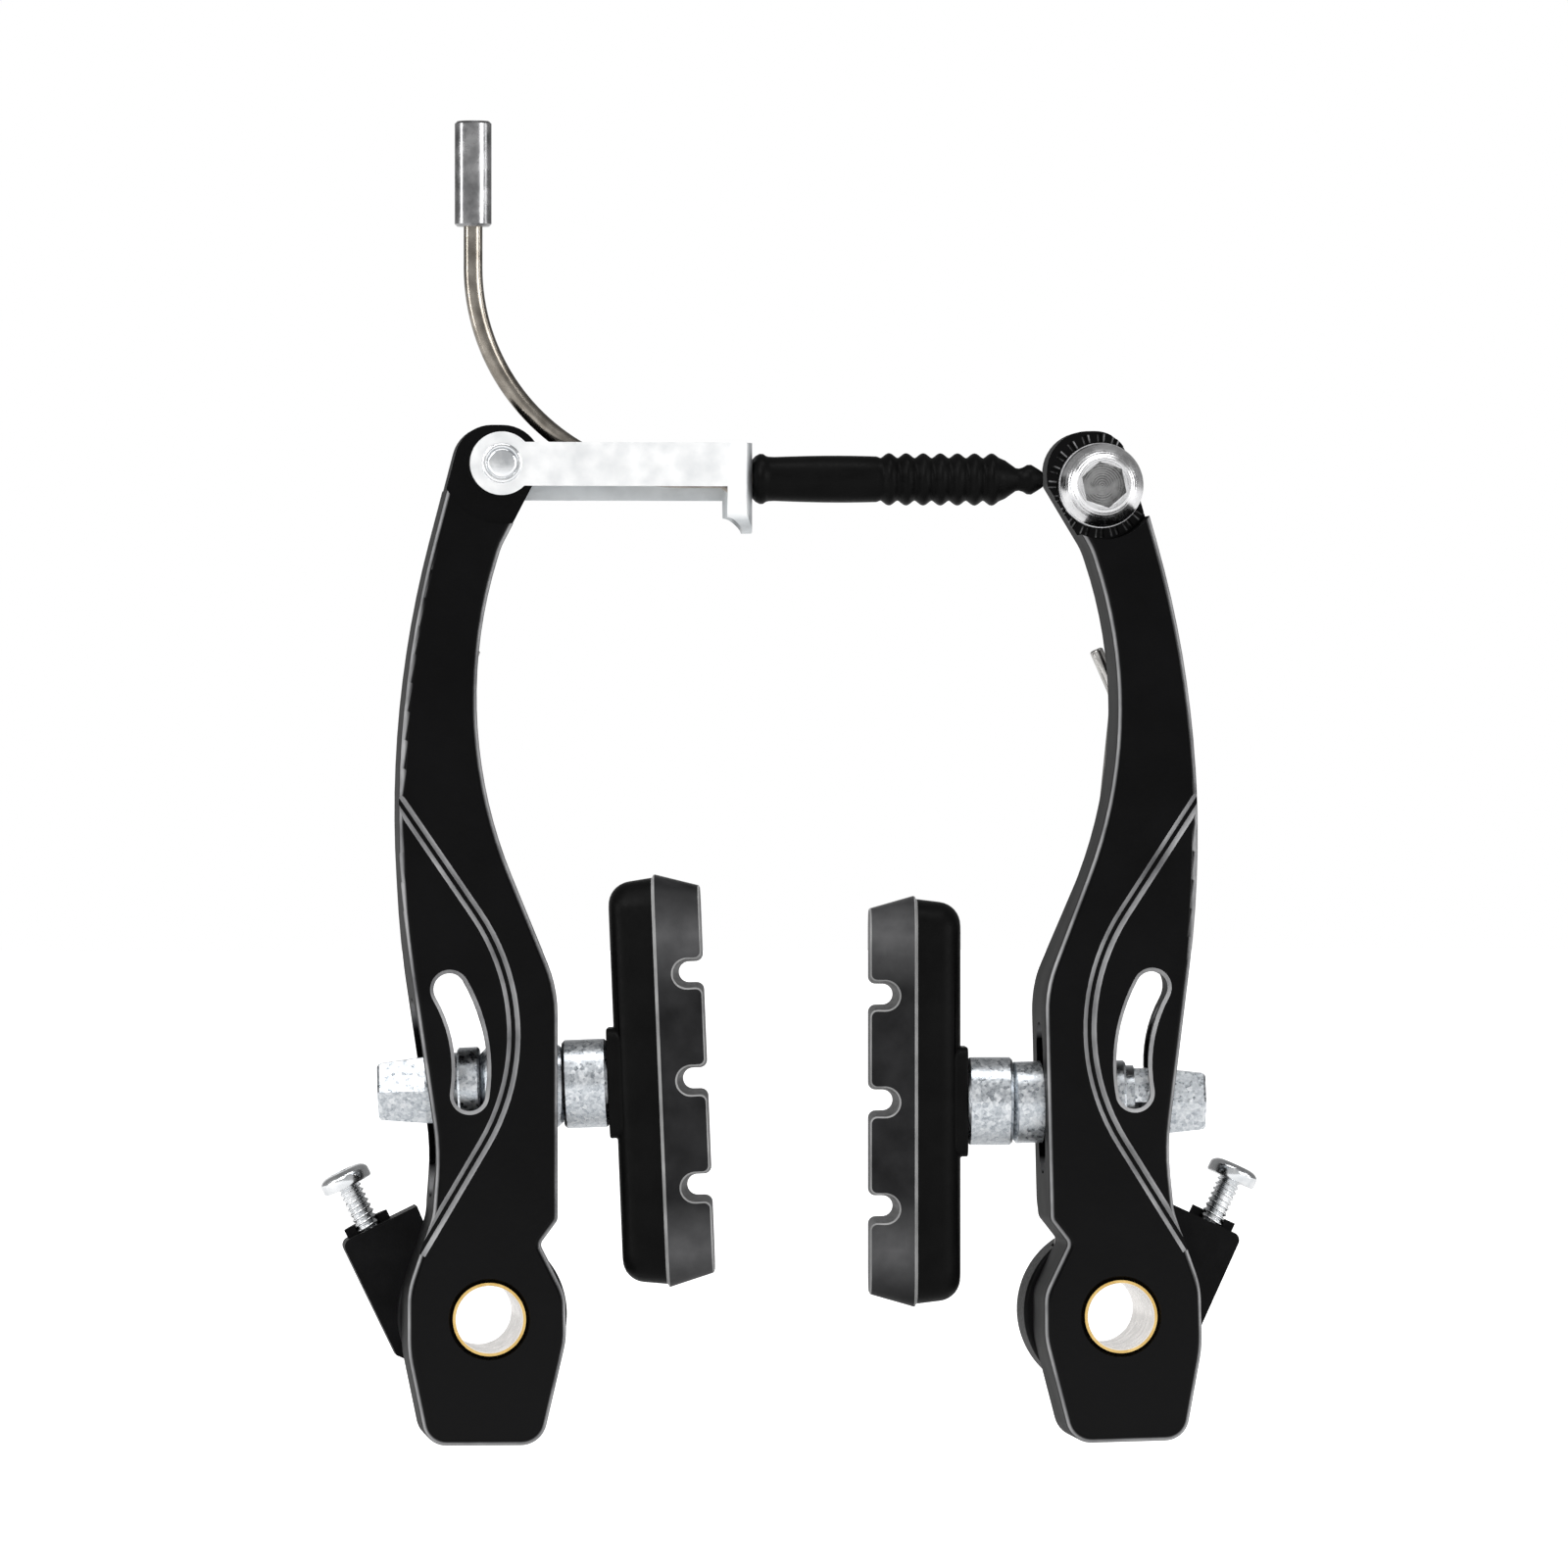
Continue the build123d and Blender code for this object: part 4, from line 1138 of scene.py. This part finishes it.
@dataclass
class NoodleSet:
    """The link with the noodle, its ferrule and nose, and the rubber boot."""

    plate: Material
    rivet: Material
    tube: Material
    ferrule: Material
    rubber: Material
    axis_y: float = -15.8
    axis_z: float = 102.1
    start_x: float = -6.21
    tip_x: float = 29.5
    ribs: int = 7
    rib_start: float = 15.8
    rib_pitch: float = 2.1
    rib_r: float = 3.2
    valley_r: float = 2.6
    rivet_spot: Point = (-37.0, 0.0, 103.8)
    rivet_crease: float = 40.0
    rivet_profile: tuple[Pair, ...] = (
        (10.6, 0.0), (10.6, 2.15), (10.68, 2.34), (10.85, 2.45), (11.26, 2.45), (11.26, 2.0), (20.34, 2.0),
        (20.34, 2.45), (20.72, 2.45), (20.9, 2.38), (21.0, 2.22), (21.0, 1.98), (20.92, 1.86), (21.0, 1.78),
        (21.16, 1.74), (21.26, 1.62), (21.3, 1.42), (21.3, 0.0))
    nose_end: float = 8.25
    nose_r: float = 1.55
    bore_r: float = 1.85
    nose_gap: float = 0.3
    cable_r: float = 0.8
    cable_bore: float = 3.5
    collar: tuple[Pair, ...] = (
        (0.0, 2.15), (0.12, 2.4), (0.5, 2.8), (1.0, 3.07), (1.4, 3.06), (1.75, 2.82), (2.1, 2.72),
        (2.8, 2.69))
    sleeve_steps: int = 8
    sleeve_swell: Pair = (0.18, 0.8)
    rib_gap: float = 0.5
    rib_steps: int = 10
    rib_fullness: float = 0.75
    shoulder: tuple[Pair, ...] = ((0.25, 2.5), (0.6, 2.35))
    tip: tuple[Pair, ...] = (
        (3.3, 1.42), (2.9, 1.36), (2.4, 1.5), (1.9, 1.8), (1.4, 1.83), (0.6, 1.35), (0.15, 1.05),
        (0.0, 0.92))
    boot_crease: float = 55.0

    def boot_profile(self) -> list[Pair]:
        """The boot's outside and bore as a closed loop.

        Returns:
            Points as (distance along the noodle, radius) in millimetres.
        """
        length = self.tip_x - self.start_x
        outside = list(self.collar)
        (start, collar_r), end = self.collar[-1], self.rib_start - self.rib_gap
        swell, turn = self.sleeve_swell
        for step in range(1, self.sleeve_steps + 1):
            share = step / self.sleeve_steps
            radius = collar_r + swell * math.sin(share * math.pi * turn)
            outside.append((start + (end - start) * share, radius))
        for index in range(self.ribs * self.rib_steps + 1):
            phase = index / self.rib_steps
            crest = (0.5 - 0.5 * math.cos(math.tau * phase)) ** self.rib_fullness
            radius = self.valley_r + (self.rib_r - self.valley_r) * crest
            outside.append((self.rib_start + phase * self.rib_pitch, radius))
        last = self.rib_start + self.ribs * self.rib_pitch
        outside += [(last + shift, radius) for shift, radius in self.shoulder]
        outside += [(length - shift, radius) for shift, radius in self.tip]
        nose = self.nose_end + self.nose_gap
        bore = [(length, self.cable_r), (length - self.cable_bore, self.cable_r), (last, self.bore_r)]
        return outside + bore + [(nose, self.bore_r), (nose, self.nose_r), (0.0, self.nose_r)]

    def boot(self) -> str:
        """Makes the soft ribbed boot.

        Returns:
            The piece's name.
        """
        mesh = bmesh.new()
        add_lathe(mesh, self.boot_profile(), closed=True)
        place = Matrix.Translation((self.start_x * MM, self.axis_y * MM, self.axis_z * MM))
        mesh.transform(place @ Matrix.Rotation(math.radians(90.0), 4, "Y") @ Matrix.Scale(MM, 4))
        piece = new_piece("ribbed_boot", mesh, self.rubber, crease=self.boot_crease)
        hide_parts("noodle_boot")
        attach(piece, "link")
        return piece.name

    def rivet_piece(self) -> str:
        """Makes the rivet with its rounded heads and raised centre.

        Returns:
            The piece's name.
        """
        mesh = bmesh.new()
        add_lathe(mesh, list(self.rivet_profile))
        place = Matrix.Translation(Vector(self.rivet_spot) * MM)
        mesh.transform(place @ Matrix.Rotation(math.radians(90.0), 4, "X") @ Matrix.Scale(MM, 4))
        piece = new_piece("link_pin", mesh, self.rivet, crease=self.rivet_crease)
        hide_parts("link_rivet")
        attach(piece, "left_arm")
        return piece.name

    def build(self) -> list[str]:
        """Dresses the link and the noodle, and makes the rivet and the boot.

        Returns:
            The names of the pieces.
        """
        dress({"link_rivet": self.rivet, "noodle_boot": self.rubber})
        names = dress({"noodle_link": self.plate, "noodle_ferrule": self.ferrule})
        names += dress({"noodle_tube": self.tube, "noodle_nose": self.tube})
        return [*names, self.rivet_piece(), self.boot()]


@dataclass
class CableAnchor:
    """The washer and bolt that clamp the cable on the right arm."""

    steel: Material

    def build(self) -> list[str]:
        """Dresses the washer and the bolt, and gives their names."""
        return dress({"anchor_washer": self.steel, "anchor_bolt": self.steel})


@dataclass(frozen=True)
class Lamp:
    """A soft rectangular lamp aimed at the brake."""

    name: str
    place: Point
    width: float
    height: float
    power: float

    def build(self, aim: Vector) -> None:
        """Adds the lamp to the scene.

        Args:
            aim: The point that it faces.
        """
        data = bpy.data.lights.new(self.name, "AREA")
        data.shape = "RECTANGLE"
        data.size, data.size_y = self.width, self.height
        data.energy = self.power
        lamp = bpy.data.objects.new(self.name, data)
        lamp.location = self.place
        lamp.rotation_euler = (aim - Vector(self.place)).to_track_quat("-Z", "Y").to_euler()
        bpy.context.scene.collection.objects.link(lamp)


@dataclass
class Studio:
    """Pale floor, white surroundings, soft lamps and the camera at the photograph's angle."""

    aim: Point = (-0.0027, -0.021, 0.0649)
    azimuth: float = -5.3
    distance: float = 1.29
    lens: float = 243.8
    sensor: float = 36.0
    clip: Pair = (0.05, 50.0)
    floor_z: float = -0.05
    floor_size: float = 6.0
    floor_tones: Tones = ((0.80, 0.80, 0.80), (0.82, 0.82, 0.82))
    floor_cloud: float = 50.0
    floor_glow: tuple[float, ...] = (0.1, 0.8, 0.2, 1.0)
    floor_mirrored: float = 0.5
    soft_light: float = 0.45
    mirror_tones: tuple[Pair, ...] = ((0.0, 0.6), (0.25, 0.45), (0.5, 0.2), (0.93, 0.25), (0.995, 1.0))
    lamps: tuple[Lamp, ...] = (
        Lamp("key_lamp", (-0.75, -0.75, 0.85), 0.5, 0.5, 8.0),
        Lamp("left_strip", (-0.75, -0.12, 0.1), 0.12, 0.7, 2.4),
        Lamp("right_strip", (0.75, -0.12, 0.1), 0.12, 0.7, 1.2),
        Lamp("top_strip", (0.0, -0.25, 0.95), 0.8, 0.2, 3.0),
        Lamp("front_fill", (0.9, -0.75, 0.35), 0.5, 0.5, 5.0),
    )

    def world(self) -> None:
        """Surrounds the brake with white, softer in its light and shaded in front where it mirrors."""
        world = bpy.data.worlds.new("studio")
        bpy.context.scene.world = world
        world.use_nodes = True
        nodes = NodeTree(world.node_tree)
        nodes.tree.nodes.clear()
        rays = nodes.node("LightPath")
        depth = nodes.step(nodes.axis(nodes.node("TexCoord")["Generated"], "Y"), -1.0, 1.0)
        front = nodes.ramp(depth, *((place, (tone, tone, tone)) for place, tone in self.mirror_tones))
        level = nodes.mix(rays["Is Glossy Ray"], self.soft_light, front)
        for ray in ("Is Camera Ray", "Is Transmission Ray"):
            level = nodes.math("MAXIMUM", level, rays[ray])
        white = nodes.node("Background", {"Color": (*FULL, 1.0), "Strength": level})
        nodes.node("OutputWorld", {"Surface": white[0]})

    def floor(self) -> None:
        """Lays the pale floor, which is white to the camera apart from the brake's shadow."""
        sheet = NodeSheet("pale_floor", Roughness=0.9, Specular_IOR_Level=0.0, Emission_Color=FULL)
        color = sheet.cloudy(sheet.noise(self.floor_cloud), self.floor_tones)
        sheet.link(color, sheet.shader.inputs["Base Color"])
        rays = sheet.node("LightPath")
        mirrored = sheet.product(rays["Is Glossy Ray"], self.floor_mirrored)
        seen = sheet.math("MAXIMUM", rays["Is Camera Ray"], mirrored)
        glow = sheet.step(sheet.vector("LENGTH", sheet.coords), *self.floor_glow)
        sheet.link(sheet.product(seen, glow), sheet.shader.inputs["Emission Strength"])
        mesh = bmesh.new()
        bmesh.ops.create_grid(mesh, x_segments=1, y_segments=1, size=self.floor_size)
        mesh.transform(Matrix.Translation((0.0, 0.0, self.floor_z)))
        new_piece("floor", mesh, sheet.material)

    def camera(self) -> None:
        """Sets the camera at the photograph's angle and framing."""
        turn = math.radians(self.azimuth)
        back = Vector((math.sin(turn), -math.cos(turn), 0.0))
        data = bpy.data.cameras.new("camera")
        data.lens = self.lens
        data.sensor_width = self.sensor
        data.clip_start, data.clip_end = self.clip
        camera = bpy.data.objects.new("camera", data)
        camera.location = Vector(self.aim) + back * self.distance
        camera.rotation_euler = (-back).to_track_quat("-Z", "Y").to_euler()
        bpy.context.scene.collection.objects.link(camera)
        bpy.context.scene.camera = camera

    def build(self) -> list[str]:
        """Sets up the whole studio.

        Returns:
            The names of its pieces.
        """
        self.world()
        self.floor()
        self.camera()
        for lamp in self.lamps:
            lamp.build(Vector(self.aim))
        bpy.context.scene.view_settings.view_transform = "Standard"
        return ["floor", "camera", *(lamp.name for lamp in self.lamps)]


def grey(*levels: float) -> tuple[Color, ...]:
    """Neutral colours of the given levels."""
    return tuple((level, level, level) for level in levels)


class Finishes:
    """Every finish of the brake, built once."""

    def __init__(self) -> None:
        """Builds the finishes."""
        self.paint = BlackPaint().material()
        self.zinc = MottledZinc().material()
        self.plastic = Moulding(
            "black_moulding", ((0.003, 0.003, 0.0032), (0.006, 0.006, 0.0064)), cloud=(3.0, 3.0),
            grain=(0.35, 0.02), waves=(), rough=(0.42, 0.58), specular=0.08).material()
        self.backing = Moulding("pad_backing", grey(0.0022, 0.004)).material()
        # Pale colour of the painted highlight on the pads' rounded friction edges.
        self.painted_highlight = Moulding("pad_edge_highlight", grey(0.20, 0.34)).material()
        self.boot = Moulding("boot_rubber", grey(0.0018, 0.0035)).material()
        friction = ((0.010, 0.010, 0.0105), (0.022, 0.022, 0.023))
        self.friction = FrictionRubber("pad_rubber", friction).material()
        brass = ((0.66, 0.43, 0.13), (0.84, 0.60, 0.24))
        self.brass = BrassSleeve("turned_brass", brass, rough=(0.22, 0.36)).material()
        steel = ((0.66, 0.66, 0.67), (0.84, 0.84, 0.85))
        self.anchor = AnchorSteel("turned_steel", steel, rough=(0.2, 0.34)).material()
        self.screw = BrightPlate("bright_zinc", ((0.66, 0.68, 0.70), (0.88, 0.89, 0.90))).material()
        self.wire = BrightPlate("drawn_wire", ((0.34, 0.33, 0.32), (0.55, 0.54, 0.52))).material()
        nickel = ((0.88, 0.895, 0.905), (0.985, 0.99, 0.99))
        self.link = FoldedPlate("bright_nickel", nickel, rough=(0.36, 0.46), wave=(3.5, 0.02)).material()
        self.tube = BrightPlate(
            "polished_tube", ((0.17, 0.152, 0.13), (0.31, 0.285, 0.25)), rough=(0.21, 0.26),
            wave=(3.5, 0.006), scratch=(0.25, 0.0002)).material()
        self.ferrule = BrightPlate(
            "ferrule_steel", ((0.19, 0.19, 0.195), (0.36, 0.36, 0.365)), rough=(0.22, 0.3),
            wave=(3.5, 0.02), scratch=(0.25, 0.003), streak=(1.0, 1.0, 0.06)).material()


def main() -> None:
    """Builds the brake's looks piece by piece."""
    logging.basicConfig(level=logging.INFO, format="%(message)s")
    finish = Finishes()
    noodle = NoodleSet(finish.link, finish.screw, finish.tube, finish.ferrule, finish.boot)
    sets = [Studio(), noodle, CableAnchor(finish.anchor)]
    for side in Side:
        sets.append(ArmSet(side, finish.paint, finish.zinc))
        sets.append(SpringSet(side, finish.brass, finish.plastic, finish.wire, finish.screw))
        sets.append(PadSet(side, finish.backing, finish.friction, finish.painted_highlight, finish.zinc))
    for group in sets:
        for name in group.build():
            LOG.info("%s: %s", type(group).__name__, name)
    bpy.context.view_layer.update()


if __name__ == "__main__":
    main()
